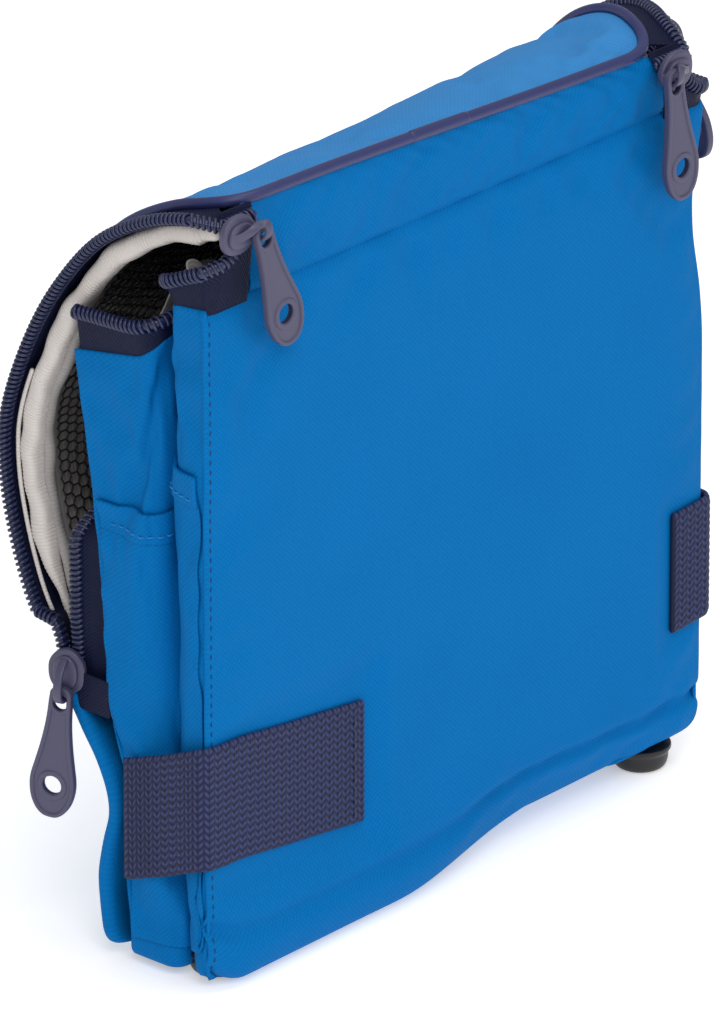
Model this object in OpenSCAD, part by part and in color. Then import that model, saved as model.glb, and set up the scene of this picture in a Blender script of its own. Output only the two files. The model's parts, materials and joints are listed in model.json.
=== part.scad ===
// Collapsible insulated cooler bag, folded flat, with its left end unzipped.
// X runs along the bag's width, Y from the back panel towards the front, Z up from the floor.
// The origin is on the floor, under the middle of the folded bag.

/* [Bag] */
// Width of the bag across its back panel
bag_w = 220; // [200:1:240]
// Height of the crease above the back panel's lower edge
panel_h = 210; // [200:1:220]
// Height of the hinge strip between the crease and the lid
hinge_h = 26; // [22:1:30]
// How far each end of the hinge strip stops short of the bag's edge
hinge_inset = 20; // [18:1:24]
// Depth of each end pleat, inwards from the end of the bag
pleat_depth = 35; // [25:1:40]

/* [Layers] */
// Thickness of the outer fabric
cloth_t = 1.2; // [0.8:0.1:1.4]
// Thickness of the foam insulation
foam_t = 3; // [2:0.1:3.4]
// Thickness of the lining
lining_t = 0.8; // [0.5:0.1:0.9]

/* [Zippers] */
// Width of the visible zipper tape
tape_w = 8; // [6:0.5:9]
// Diameter of a zipper coil
coil_d = 4; // [3:0.1:4.2]
// Length of a zipper pull
pull_len = 43; // [38:1:50]
// Greatest width of a zipper pull
pull_w = 14.5; // [13:0.5:15]
// Thickness of a zipper pull
pull_t = 2.4; // [2:0.1:2.6]
// Diameter of the hole near the wide end of a pull
pull_hole_d = 6; // [4:0.5:6.5]

/* [Straps and feet] */
// Width of the strap webbing
webbing_w = 38; // [30:1:40]
// Thickness of the strap webbing
webbing_t = 1.6; // [1.2:0.1:1.8]
// Height of a foot
foot_h = 8; // [6:0.5:9]
// Diameter of a foot
foot_d = 19; // [16:1:20]
// Diameter of the lid piping
piping_d = 3.4; // [3:0.1:3.6]

/* [Hidden] */

$fn = 48;
gap = 0.3;
edge_x = bag_w / 2;
base_z = foot_h + cloth_t + gap;
crease_z = foot_h + panel_h;
// Middle of the folded bag's outline, which the whole model is centred on
mid = [0, 35.1];

blue = [0.02, 0.36, 0.72];
lid_blue = [0.10, 0.42, 0.76];
navy = [0.12, 0.13, 0.30];
pull_navy = [0.20, 0.19, 0.34];
white = [0.86, 0.85, 0.82];
black = [0.05, 0.05, 0.06];
foam_grey = [0.75, 0.76, 0.78];

// Side profiles of the lid, from the hinge strip over the top and down the front: [depth, height]
left_profile = [
    [0, 248], [21, 242], [41.5, 230], [57.5, 212], [69.5, 192],
    [79, 168], [81, 150], [78, 130], [71, 109], [61, 92]
];
right_profile = [
    [0, 240], [16, 243], [34, 240], [48, 230], [58, 214],
    [64, 194], [66, 170], [65, 144], [61, 118], [56, 92]
];
// Side profile of the lower front panel, from the lid down to the base
front_profile = [[60.5, 89.5], [51.5, 76], [38.5, 53.5], [42.5, 29.5], [39.8, 10.8]];
// Depth at which a gusset's front edge lies, by height: open left end, closed right end
left_front_edge = [
    [8, 31], [30, 32.5], [53, 30], [76, 37.5], [92, 40],
    [127, 41.5], [163, 43.5], [195, 46.5], [240, 46.5]
];
// Depth of the open left coil on the gusset's front edge, by height
left_leg = [[84, 51.8], [125, 51.8], [160, 54], [185, 57]];
right_front_edge = [
    [8, 31], [30, 32.5], [53, 30], [76, 38.5], [92, 40.5], [118, 44.5],
    [144, 48.5], [170, 49.5], [194, 47], [210, 38.3], [240, 38.3]
];
// Height of a gusset's upper edge, by how far along its plan it is, from the back corner to the front
left_top_edge = [[0, 217], [0.15, 217], [0.85, 195], [1, 195]];
right_top_edge = [[0, 216], [0.15, 216], [0.8, 218], [0.9, 225], [0.95, 221], [1, 211]];
left_shape = [left_front_edge, left_top_edge];
right_shape = [right_front_edge, right_top_edge];

lid_edge_x = edge_x - 13;
lid_coil_x = edge_x + 0.2;
// Where the lid's and the body's coils end, low on the front edge
leg_low_z = 84;
patch_z = 70;
// Height of a side pocket's hem at its back and at its front
pocket_back_z = 167;
pocket_front_z = 148;
left_zip_z = 242;
right_zip_z = 234.5;
// Half the distance between two closed coils
coil_pair = coil_d / 2 + 0.2;
layer_1 = cloth_t + gap;
layer_2 = layer_1 + foam_t + gap;
cleft_w = 4.4;

function lerp(a, b, f) = a * (1 - f) + b * f;
function smooth(f) = f * f * (3 - 2 * f);
function clamp(v, low, high) = max(low, min(high, v));

// Catmull-Rom curve through a list of points, with f from 0 to 1
function curve_at(p, f) =
    let (
        n = len(p) - 1,
        u = clamp(f, 0, 1) * n,
        i = min(floor(u), n - 1),
        s = u - i,
        a = p[max(i - 1, 0)],
        b = p[i],
        c = p[i + 1],
        d = p[min(i + 2, n)]
    )
    0.5 * (2 * b + (c - a) * s + (2 * a - 5 * b + 4 * c - d) * s * s + (3 * b - a - 3 * c + d) * s * s * s);

// Point on a side profile, moved inwards by depth d
function profile_point(profile, f, d) =
    let (
        step = 0.01,
        ahead = curve_at(profile, f + step),
        behind = curve_at(profile, f - step),
        t = (ahead - behind) / norm(ahead - behind)
    )
    curve_at(profile, f) - d * [-t[1], t[0]];

function lid_profile(x) =
    let (f = smooth(clamp((x + edge_x) / bag_w, 0, 1)))
    [for (k = [0:len(left_profile) - 1]) lerp(left_profile[k], right_profile[k], f)];

function lid_point(x, f, d) =
    let (p = profile_point(lid_profile(x), f, d))
    [x, p[0], p[1]];

// Closed solid between two grids of points; the first grid is the outer skin
function cell(a, b, c, d) = [[a, b, c], [a, c, d]];
module sheet_solid(outer, inner) {
    rows = len(outer);
    cols = len(outer[0]);
    n = rows * cols;
    points = concat([for (row = outer) each row], [for (row = inner) each row]);
    faces = concat(
        [for (i = [0:rows - 2], j = [0:cols - 2])
            each cell(i * cols + j, i * cols + j + 1, (i + 1) * cols + j + 1, (i + 1) * cols + j)],
        [for (i = [0:rows - 2], j = [0:cols - 2])
            each cell(n + i * cols + j, n + (i + 1) * cols + j, n + (i + 1) * cols + j + 1, n + i * cols + j + 1)],
        [for (i = [0:rows - 2])
            each cell(i * cols, (i + 1) * cols, n + (i + 1) * cols, n + i * cols)],
        [for (i = [0:rows - 2])
            each cell((i + 1) * cols - 1, n + (i + 1) * cols - 1, n + (i + 2) * cols - 1, (i + 2) * cols - 1)],
        [for (j = [0:cols - 2])
            each cell(j, n + j, n + j + 1, j + 1)],
        [for (j = [0:cols - 2])
            each cell((rows - 1) * cols + j, (rows - 1) * cols + j + 1, n + (rows - 1) * cols + j + 1, n + (rows - 1) * cols + j)]
    );
    polyhedron(points, faces);
}

// Round tube along a list of points, with flat ends
function unit(v) = v / norm(v);
function path_tangent(p, i) = unit(p[min(i + 1, len(p) - 1)] - p[max(i - 1, 0)]);
module tube(path, d, sides = 8) {
    rings = [for (i = [0:len(path) - 1])
        let (
            t = path_tangent(path, i),
            flat = abs(t[2]) > 0.9 ? [1, 0, 0] : [0, 0, 1],
            a = unit(cross(t, flat)),
            b = cross(a, t)
        )
        [for (k = [0:sides - 1]) path[i] + d / 2 * (cos(360 * k / sides) * a + sin(360 * k / sides) * b)]
    ];
    last = (len(path) - 1) * sides;
    faces = concat(
        [[for (k = [sides - 1:-1:0]) k]],
        [[for (k = [0:sides - 1]) last + k]],
        [for (i = [0:len(path) - 2], k = [0:sides - 1])
            let (k2 = (k + 1) % sides)
            each cell(i * sides + k, i * sides + k2, (i + 1) * sides + k2, (i + 1) * sides + k)]
    );
    polyhedron([for (ring = rings) each ring], faces);
}

module centred() translate([-mid[0], -mid[1], 0]) children();
module on_right() mirror([1, 0, 0]) children();

// ---- Back shell ----

// Flat panel in the XZ plane with round lower corners, its outer face at depth y
module upright_panel(half_w, z0, z1, r, y, t) {
    translate([0, y + t, 0]) rotate([90, 0, 0]) linear_extrude(t) union() {
        translate([-half_w, z0 + r]) square([2 * half_w, z1 - z0 - r]);
        translate([-half_w + r, z0]) square([2 * half_w - 2 * r, r + 1]);
        for (side = [-1, 1]) translate([side * (half_w - r), z0 + r]) circle(r = r);
    }
}

module back_panel() color(blue) centred() upright_panel(edge_x, base_z, crease_z, 18, 0, cloth_t);
module back_foam() color(foam_grey) centred()
    upright_panel(edge_x - 6, base_z + 4, crease_z - 4, 14, layer_1, foam_t);
module back_lining() color(white) centred()
    upright_panel(edge_x - 5, base_z + 3, crease_z - 2, 14, layer_2, lining_t);

module hinge_strip() color(blue) centred()
    translate([0, cloth_t, 0]) rotate([90, 0, 0]) linear_extrude(cloth_t) polygon([
        [-edge_x + hinge_inset, crease_z + gap],
        [edge_x - hinge_inset, crease_z + gap],
        [edge_x - hinge_inset, crease_z + hinge_h - 6],
        [-edge_x + hinge_inset, crease_z + hinge_h]
    ]);

// ---- Lid ----

lid_columns = 12;
lid_rows = 18;
// Sheet that follows the lid between two widths and two places along the profile
module lid_sheet(x0, x1, f0, f1, d, t, columns = lid_columns, rows = lid_rows) {
    function place(i, j, depth) =
        lid_point(lerp(x0, x1, i / columns), lerp(f0, f1, j / rows), depth);
    outer = [for (i = [0:columns]) [for (j = [0:rows]) place(i, j, d)]];
    inner = [for (i = [0:columns]) [for (j = [0:rows]) place(i, j, d + t)]];
    sheet_solid(outer, inner);
}

module lid_cover() color(lid_blue) centred() lid_sheet(-lid_edge_x, lid_edge_x, 0.03, 1, 0, cloth_t);
module lid_foam() color(foam_grey) centred()
    lid_sheet(-lid_edge_x, lid_edge_x, 0.04, 0.98, layer_1, foam_t);
module lid_lining() color(white) centred()
    lid_sheet(-edge_x + 9, edge_x - 9, 0.04, 0.98, layer_2, lining_t);
module mesh_pocket() color(black) centred()
    lid_sheet(-edge_x + 18, edge_x - 18, 0.30, 0.90, layer_2 + lining_t + 1.5, 0.7);
module mesh_pocket_hem() color(black) centred()
    lid_sheet(-edge_x + 18, edge_x - 18, 0.245, 0.29, layer_2 + lining_t + 1, 1.8, lid_columns, 2);

// Cord sewn round the lid: up the left edge, along the hinge and down the right edge
function lid_side_path(x, f0, f1, d, n) = [for (k = [0:n]) lid_point(x, lerp(f0, f1, k / n), d)];
piping_x = lid_edge_x + gap + piping_d / 2;
piping_path = concat(
    lid_side_path(-piping_x, 0.99, 0.07, -0.6, 18),
    [for (x = [-piping_x + 2, -piping_x + 6, -piping_x + 12]) lid_point(x, 0.012 * (1 - (x + piping_x) / 14), -0.6)],
    [for (k = [0:8]) lid_point(lerp(-edge_x + 28, edge_x - 28, k / 8), 0, -0.6)],
    [for (x = [piping_x - 12, piping_x - 6, piping_x - 2]) lid_point(x, 0.012 * (1 - (piping_x - x) / 14), -0.6)],
    lid_side_path(piping_x, 0.07, 0.99, -0.6, 18)
);
module lid_piping() color(navy) centred() tube(piping_path, piping_d);

module lid_binding() tube(lid_side_path(-edge_x + 6, 0.06, 0.97, 8, 22), 5.2);
module left_lid_binding() color(white) centred() lid_binding();
module right_lid_binding() color(white) centred()
    tube(lid_side_path(edge_x - 6, 0.06, 0.97, 8, 22), 5.2);

// ---- Zippers on the lid ----

tape_x = piping_x + piping_d / 2 + gap;
module left_lid_tape() color(navy) centred()
    lid_sheet(-tape_x - 6.6, -tape_x, 0.05, 0.985, 0.2, 0.8, 1, 22);
module right_lid_tape() color(navy) centred()
    lid_sheet(tape_x, tape_x + 6.6, 0.05, 0.985, 0.2, 0.8, 1, 22);
// The coil leaves the slider along the hinge strip, turns the lid's corner and follows its edge
coil_y = -coil_d / 2 - gap;
// The straight stretch beside the hinge strip, by distance from the end of the bag
zip_start = [28, 18, 10, 5];
left_leg_y = 54;
// How far the two coils stand out of line at the left slider, which is turned towards the back
pair_x = 0.7;
module left_lid_coil() color(navy) centred() tube(concat(
    [for (x = zip_start) [-edge_x + x, coil_y, left_zip_z + coil_pair]],
    lid_side_path(-lid_coil_x, 0.04, 0.92, 0.6, 22),
    [for (p = [[0.3, 60, 103], [0.6, 57.4, 98], [pair_x, 56.4, 92], [pair_x, 56.1, leg_low_z]]) [-lid_coil_x - p[0], p[1], p[2]]]
), coil_d);
module right_lid_coil() color(navy) centred() tube(concat(
    [for (x = zip_start) [edge_x - x, coil_y, right_zip_z + coil_pair]],
    lid_side_path(lid_coil_x, 0.05, 0.985, 0.6, 24)
), coil_d);

// ---- End gussets, folded inwards ----

// Plan of the left gusset at one height: along the end, into the pleat, out again, and to the front
function arc(centre, r, a0, a1, n) =
    [for (k = [0:n]) centre + r * [cos(lerp(a0, a1, k / n)), sin(lerp(a0, a1, k / n))]];
corner_r = 5.6;
function gusset_plan(shape, z) =
    let (
        near = lerp(12.5, 16, clamp(z / 200, 0, 1)),
        far = lookup(z, shape[0]),
        tip = cleft_w / 2
    )
    concat(
        [[-edge_x, 2], [-edge_x, 5]],
        arc([-edge_x + corner_r, near - corner_r], corner_r, 180, 90, 3),
        [[-edge_x + pleat_depth / 2, near]],
        arc([-edge_x + pleat_depth - tip, near + tip], tip, -90, 90, 5),
        [[-edge_x + pleat_depth / 2, near + cleft_w]],
        arc([-edge_x + corner_r, near + cleft_w + corner_r], corner_r, -90, -180, 3),
        [[-edge_x, lerp(near + cleft_w + corner_r, far, 0.5)], [-edge_x, far]]
    );
plan_points = len(gusset_plan(left_shape, 0));
function gusset_top(shape, j) = lookup(j / (plan_points - 1), shape[1]);
// Point of the plan moved away from the outer skin by d
function plan_offset(shape, z, j, d) =
    let (
        p = gusset_plan(shape, z),
        t = unit(p[min(j + 1, plan_points - 1)] - p[max(j - 1, 0)])
    )
    p[j] + d * [t[1], -t[0]];
function gusset_point(shape, z, j, d) =
    let (p = plan_offset(shape, z, j, d))
    [p[0], p[1], z];

// Sheet that follows the gusset; low and high are heights at each point of the plan
gusset_rows = 8;
module gusset_sheet(shape, low, high, d, t) {
    function place(i, j, depth) = gusset_point(shape, lerp(low[j], high[j], i / gusset_rows), j, depth);
    outer = [for (i = [0:gusset_rows]) [for (j = [0:plan_points - 1]) place(i, j, d)]];
    inner = [for (i = [0:gusset_rows]) [for (j = [0:plan_points - 1]) place(i, j, d + t)]];
    sheet_solid(outer, inner);
}
function all_at(z) = [for (j = [0:plan_points - 1]) z];
function top_plus(shape, rise) = [for (j = [0:plan_points - 1]) gusset_top(shape, j) + rise];
pocket_top = [for (j = [0:plan_points - 1]) lerp(pocket_back_z, pocket_front_z, j / (plan_points - 1))];
gusset_foam_t = 1.6;

module gusset(shape) gusset_sheet(shape, all_at(base_z), top_plus(shape, 0), 0, cloth_t);
module gusset_foam(shape) gusset_sheet(shape, all_at(base_z + 3), top_plus(shape, -4), layer_1, gusset_foam_t);
module gusset_lining(shape)
    gusset_sheet(shape, all_at(base_z + 2), top_plus(shape, 4), layer_1 + gusset_foam_t + gap, lining_t);
module side_pocket(shape) gusset_sheet(shape, all_at(base_z), pocket_top, -0.8 - gap, 0.8);

module left_gusset() color(blue) centred() gusset(left_shape);
module right_gusset() color(blue) centred() on_right() gusset(right_shape);
module left_gusset_foam() color(foam_grey) centred() gusset_foam(left_shape);
module right_gusset_foam() color(foam_grey) centred() on_right() gusset_foam(right_shape);
module left_gusset_lining() color(white) centred() gusset_lining(left_shape);
module right_gusset_lining() color(white) centred() on_right() gusset_lining(right_shape);
module left_side_pocket() color(blue) centred() side_pocket(left_shape);
module right_side_pocket() color(blue) centred() on_right() side_pocket(right_shape);

// ---- Zippers on the body ----

// Tape above the gusset's upper edge, with a leg down its front edge to the patch
module body_tape(shape) {
    top_tape = top_plus(shape, gap);
    gusset_sheet(shape, top_tape, top_plus(shape, tape_w - 1.3), -0.2, 0.8);
    leg_z = [for (k = [0:9]) lerp(top_tape[plan_points - 1] - 2, leg_low_z, k / 9)];
    function place(z, f, x) = [x, lerp(lookup(z, shape[0]) + gap, body_leg_y(shape, z) - coil_d / 2 - 3 * gap, f), z];
    sheet_solid(
        [for (f = [0, 1]) [for (z = leg_z) place(z, f, -edge_x - 0.2)]],
        [for (f = [0, 1]) [for (z = leg_z) place(z, f, -edge_x + 0.6)]]
    );
}
// Depth of the coil on the gusset's front edge
function body_leg_y(shape, z) =
    shape == left_shape ? lookup(z, left_leg) : lookup(z, shape[0]) + tape_w + gap + coil_pair;
function body_coil_path(shape, start_z) =
    let (
        rise = tape_w + coil_d / 2 + gap,
        start = [for (x = zip_start) [-edge_x + x, coil_y, start_z - coil_pair]],
        top = [for (j = [1:plan_points - 3])
            let (p = plan_offset(shape, 216, j, 0.2))
            [p[0], p[1], gusset_top(shape, j) + rise]],
        corner_z = gusset_top(shape, plan_points - 1) + rise,
        corner_y = body_leg_y(shape, corner_z - 8),
        leg = [for (k = [0:11])
            let (z = lerp(corner_z - 7, leg_low_z, k / 11))
            [-edge_x - 0.2 + (shape == left_shape ? pair_x * clamp((106 - z) / 6, 0, 1) : 0), body_leg_y(shape, z), z]]
    )
    concat(start, top, [for (c = [[4, 0], [1.2, 1.2], [0, 4]]) [-edge_x - 0.2, corner_y - c[0], corner_z - c[1]]], leg);
module body_coil(shape, start_z) tube(body_coil_path(shape, start_z), coil_d);
patch_size = [0.8, 12, 12];
module zip_patch() translate([-edge_x - 3.2, 40, patch_z]) cube(patch_size);

module left_body_tape() color(navy) centred() body_tape(left_shape);
module right_body_tape() color(navy) centred() on_right() body_tape(right_shape);
module left_body_coil() color(navy) centred() body_coil(left_shape, left_zip_z);
module right_body_coil() color(navy) centred() on_right() body_coil(right_shape, right_zip_z);
module left_zip_patch() color(navy) centred() zip_patch();
module right_zip_patch() color(navy) centred() on_right() zip_patch();

// ---- Base and feet ----

strip_split = 20.5;
module back_base_strip() color(blue) centred()
    translate([-edge_x + 8, 0, foot_h]) cube([bag_w - 16, strip_split - gap / 2, cloth_t]);
module front_base_strip() color(blue) centred()
    translate([-edge_x + 8, strip_split + gap / 2, foot_h]) cube([bag_w - 16, 39.6 - strip_split, cloth_t]);

// Floor of the bag, folded up inside between the two pleats
fold_half_w = edge_x - pleat_depth - 12;
module floor_fold(d, t, top) {
    points = concat(
        [[strip_split - 1.2 - d, base_z]],
        [[strip_split - 0.9 - d, top + d]],
        [[strip_split + 0.9 + d, top + d]],
        [[strip_split + 1.2 + d, base_z]]
    );
    inside = concat(
        [[strip_split + 1.2 + d - t, base_z]],
        [[strip_split + 0.9 + d - t, top + d - t]],
        [[strip_split - 0.9 - d + t, top + d - t]],
        [[strip_split - 1.2 - d + t, base_z]]
    );
    rotate([90, 0, 90]) translate([0, 0, -fold_half_w]) linear_extrude(2 * fold_half_w)
        polygon(concat(points, inside));
}
module base_fold() color(blue) centred() floor_fold(0, 0.8, 60);
module base_lining() color(white) centred() floor_fold(1.2, lining_t, 60);

module foot(x, y) {
    translate([x, y, 0]) rotate_extrude() polygon([
        [0, 0], [foot_d * 0.36, 0], [foot_d * 0.45, foot_h * 0.16],
        [foot_d * 0.5, foot_h * 0.45], [foot_d * 0.5, foot_h - gap / 3], [0, foot_h - gap / 3]
    ]);
}
module foot_pair(y) for (side = [-1, 1]) foot(side * (edge_x - 15), y);
module back_feet() color(black) centred() foot_pair(10.2);
module front_feet() color(black) centred() foot_pair(30.6);

// ---- Lower front ----

module front_sheet(half_w, f0, f1, d, t) {
    outer = [for (x = [-half_w, half_w])
        [for (k = [0:14]) let (p = profile_point(front_profile, lerp(f0, f1, k / 14), d)) [x, p[0], p[1]]]];
    inner = [for (x = [-half_w, half_w])
        [for (k = [0:14]) let (p = profile_point(front_profile, lerp(f0, f1, k / 14), d + t)) [x, p[0], p[1]]]];
    sheet_solid(outer, inner);
}
module front_panel() color(blue) centred() front_sheet(edge_x - 2, 0, 0.97, 0, cloth_t);
module front_foam() color(foam_grey) centred() front_sheet(edge_x - 8, 0.04, 0.95, layer_1, foam_t);
module front_lining() color(white) centred() front_sheet(edge_x - 6, 0.04, 0.95, layer_2, lining_t);

// ---- Sliders and pulls ----

// The pull hangs from the slider's eye. In its own frame the hinge lies along X, -Y faces out, +Z is up.
eye_r = 2.9;
eye_wire_d = 1.7;
module slider_eye() rotate([0, 90, 0]) rotate_extrude() translate([eye_r, 0]) circle(d = eye_wire_d);

// Plate over the coils, with a raised crown on its outer face
plate_t = 1.4;
crown_t = 1.2;
slider_w = 12;
slider_len = 14;
module slider_body() {
    translate([-slider_len / 2, 0, -slider_w / 2]) cube([slider_len, plate_t, slider_w]);
    translate([-slider_len / 2 + 2, -crown_t, -slider_w / 2 + 2]) cube([slider_len - 4, crown_t + 0.1, slider_w - 4]);
}
// Distance from the eye to the plate, and from the eye to the middle of the body along the track
plate_y = 3.3;
eye_side = 5.5;
eye_rise = 1.5;
eye_drop = 5;
// Slider on a track across the pull, with the eye beside its body, and slider in line with the pull
module slider_across(side) {
    slider_eye();
    translate([side * eye_side, plate_y, -eye_rise]) slider_body();
}
module slider_in_line() {
    slider_eye();
    translate([0, plate_y, eye_drop]) rotate([0, 90, 0]) slider_body();
}

pull_top_r = 3.6;
pull_wide_r = pull_w / 2;
pull_wide_z = 1.2 + pull_wide_r - pull_len;
pull_hole_rise = 3.3;
eye_slot = [4, 5.2];
module pull() {
    top_z = 1.2 - pull_top_r;
    lean = asin((pull_wide_r - pull_top_r) / (top_z - pull_wide_z));
    outline = concat(
        arc([0, top_z], pull_top_r, lean, 180 - lean, 12),
        arc([0, pull_wide_z], pull_wide_r, 180 - lean, 360 + lean, 24)
    );
    rotate([90, 0, 0]) translate([0, 0, -pull_t / 2]) linear_extrude(pull_t) difference() {
        polygon(outline);
        translate([-eye_slot[0] / 2, -1.2 - eye_slot[1]]) square(eye_slot);
        translate([0, pull_wide_z + pull_hole_rise]) circle(d = pull_hole_d);
    }
}

// Where each pull is hinged: [place, turn about Z, lean in its own plane]
hinge_out = plate_y + plate_t + gap + coil_d / 2;
low_turn = -72;
left_top = [[-edge_x + 13.5, coil_y - hinge_out, left_zip_z + eye_rise], 0, 18];
left_low = [
    [-lid_coil_x + hinge_out * sin(low_turn), left_leg_y - hinge_out * cos(low_turn), leg_low_z + 1],
    low_turn, -6
];
right_top = [[edge_x - 25.5, coil_y - hinge_out, right_zip_z + eye_rise], 0, 7];
right_end = [[lid_coil_x + hinge_out + 0.5, 25, 232], 90, -25];
// Slope of the closed track on the right end
end_slope = 9;
module at_zip(spot) centred() translate(spot[0]) rotate([0, 0, spot[1]]) children();
module at_eye(spot) at_zip(spot) rotate([0, -spot[2], 0]) children();

module left_top_slider() color(pull_navy) at_zip(left_top) slider_across(-1);
module left_low_slider() color(pull_navy) at_zip(left_low) slider_in_line();
module right_top_slider() color(pull_navy) at_zip(right_top) slider_across(1);
module right_end_slider() color(pull_navy) at_zip(right_end) rotate([0, end_slope, 0]) slider_across(-1);
module left_top_pull() color(pull_navy) at_eye(left_top) pull();
module left_low_pull() color(pull_navy) at_eye(left_low) pull();
module right_top_pull() color(pull_navy) at_eye(right_top) pull();
module right_end_pull() color(pull_navy) at_eye(right_end) pull();

// ---- Straps ----

left_strap_z = 35;
right_strap_z = 48;
strap_reach = 30;
hook_t = 1.4;
// Sewn end on the back panel, outside the fabric
module strap_end(length, z) translate([-edge_x - 2.4, -webbing_t - gap, z]) cube([length + 2, webbing_t, webbing_w]);
// Tail round the end of the bag, with its hook pad inside
tail_x = -edge_x - 1.2 - hook_t - webbing_t - gap;
module strap_tail(z) translate([tail_x, -webbing_t - gap, z]) cube([webbing_t, strap_reach + webbing_t, webbing_w]);
module strap_hook(z) translate([tail_x + webbing_t, 8, z + 2]) cube([hook_t, strap_reach - 10, webbing_w - 4]);

module left_strap_end() color(navy) centred() strap_end(66, left_strap_z);
module left_strap() color(navy) centred() strap_tail(left_strap_z);
module left_strap_hook() color(black) centred() strap_hook(left_strap_z);
module right_strap_end() color(navy) centred() on_right() strap_end(14, right_strap_z);
module right_strap() color(navy) centred() on_right() strap_tail(right_strap_z);
module right_strap_hook() color(black) centred() on_right() strap_hook(right_strap_z);

back_panel();
back_foam();
back_lining();
hinge_strip();
lid_cover();
lid_foam();
lid_lining();
lid_piping();
mesh_pocket();
mesh_pocket_hem();
left_lid_binding();
right_lid_binding();
left_gusset();
left_gusset_foam();
left_gusset_lining();
left_side_pocket();
right_gusset();
right_gusset_foam();
right_gusset_lining();
right_side_pocket();
back_base_strip();
front_base_strip();
base_fold();
base_lining();
back_feet();
front_feet();
front_panel();
front_foam();
front_lining();
left_zip_patch();
right_zip_patch();
left_lid_tape();
left_lid_coil();
left_body_tape();
left_body_coil();
right_lid_tape();
right_lid_coil();
right_body_tape();
right_body_coil();
left_top_slider();
left_low_slider();
right_top_slider();
right_end_slider();
left_top_pull();
left_low_pull();
right_top_pull();
right_end_pull();
left_strap_end();
left_strap();
left_strap_hook();
right_strap_end();
right_strap();
right_strap_hook();
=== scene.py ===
"""Looks of a collapsible insulated bag, folded flat with its left end unzipped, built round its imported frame.

Shapes are worked out in the bag's own millimetres: X runs along its width, Y from the back panel's outer face
towards the front, and Z up from the floor. to_row() turns them into the metres of the frame.
"""

import json
import math

import bpy
import numpy as np
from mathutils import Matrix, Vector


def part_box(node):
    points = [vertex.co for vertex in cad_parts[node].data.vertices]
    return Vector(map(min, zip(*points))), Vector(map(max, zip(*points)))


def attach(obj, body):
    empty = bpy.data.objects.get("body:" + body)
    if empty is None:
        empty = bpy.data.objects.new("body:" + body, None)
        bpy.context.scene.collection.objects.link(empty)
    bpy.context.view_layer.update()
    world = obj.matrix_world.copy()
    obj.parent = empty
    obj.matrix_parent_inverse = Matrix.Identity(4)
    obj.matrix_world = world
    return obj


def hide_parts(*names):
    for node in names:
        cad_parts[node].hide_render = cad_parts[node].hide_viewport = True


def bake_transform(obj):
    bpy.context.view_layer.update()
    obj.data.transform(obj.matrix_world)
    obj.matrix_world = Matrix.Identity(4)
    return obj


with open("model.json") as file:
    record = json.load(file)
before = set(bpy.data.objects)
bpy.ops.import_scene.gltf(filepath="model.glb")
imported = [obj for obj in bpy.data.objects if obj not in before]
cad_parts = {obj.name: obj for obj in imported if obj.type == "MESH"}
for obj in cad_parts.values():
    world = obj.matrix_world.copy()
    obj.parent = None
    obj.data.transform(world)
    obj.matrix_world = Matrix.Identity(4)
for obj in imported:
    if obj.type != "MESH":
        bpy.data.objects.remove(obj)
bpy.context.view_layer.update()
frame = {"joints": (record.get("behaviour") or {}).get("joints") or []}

# ---- Measures in millimetres, from the frame ----

MM = 0.001
panel_low, panel_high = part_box("back_panel")
DEPTH_ZERO = panel_low.y
EDGE_X = panel_high.x / MM
CREASE_Z = panel_high.z / MM
FOOT_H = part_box("back_feet")[1].z / MM
STRIP_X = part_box("hinge_strip")[1].x / MM
STRIP_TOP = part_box("hinge_strip")[1].z / MM
LID_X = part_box("lid_cover")[1].x / MM
COIL_X = EDGE_X + 0.2
COIL_R = 2.0
COIL_Y = -COIL_R - 0.3

# Side profiles of the lid, from the hinge over the top and down the front: [depth, height]
LEFT_PROFILE = [
    [0, 248], [21, 242], [41.5, 230], [57.5, 212], [69.5, 192],
    [79, 168], [81, 150], [78, 130], [71, 109], [61, 92],
]
RIGHT_PROFILE = [
    [0, 240], [16, 243], [34, 240], [48, 230], [58, 214],
    [64, 194], [66, 170], [65, 144], [61, 118], [56, 92],
]
# Side profile of the lower front panel, from the lid down to the base
FRONT_PROFILE = [[60.5, 89.5], [51.5, 76], [38.5, 53.5], [42.5, 29.5], [39.8, 10.8]]

# ---- Curves and grids ----


def to_row(points):
    """Points in the bag's millimetres, as metres of the row frame."""
    moved = np.array(points, float) * MM
    moved[..., 1] += DEPTH_ZERO
    return moved


def smooth(share):
    """Share from 0 to 1 that leaves and arrives gently."""
    return share * share * (3 - 2 * share)


def unit(vectors):
    return vectors / np.maximum(np.linalg.norm(vectors, axis=-1, keepdims=True), 1e-9)


def along(points, share):
    """Catmull-Rom curve through the points, at shares from 0 to 1."""
    points = np.array(points, float)
    last = len(points) - 1
    place = np.clip(np.asarray(share, float), 0, 1) * last
    first = np.minimum(np.floor(place).astype(int), last - 1)
    s = (place - first)[..., None]
    a, b = points[np.maximum(first - 1, 0)], points[first]
    c, d = points[first + 1], points[np.minimum(first + 2, last)]
    square = (2 * a - 5 * b + 4 * c - d) * s**2
    cube = (3 * b - a - 3 * c + d) * s**3
    return 0.5 * (2 * b + (c - a) * s + square + cube)


def offset_profile(curve_at, share, depth):
    """Point of a side profile moved inwards by depth: curve_at(share) gives [depth, height]."""
    step = 0.01
    here = curve_at(share)
    lean = unit(curve_at(share + step) - curve_at(share - step))
    depth = np.asarray(depth, float)
    return here[..., 0] + depth * lean[..., 1], here[..., 1] - depth * lean[..., 0]


# How far the lid's right corner is drawn in beside the hinge
DRAWN_IN = 11.0


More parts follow.
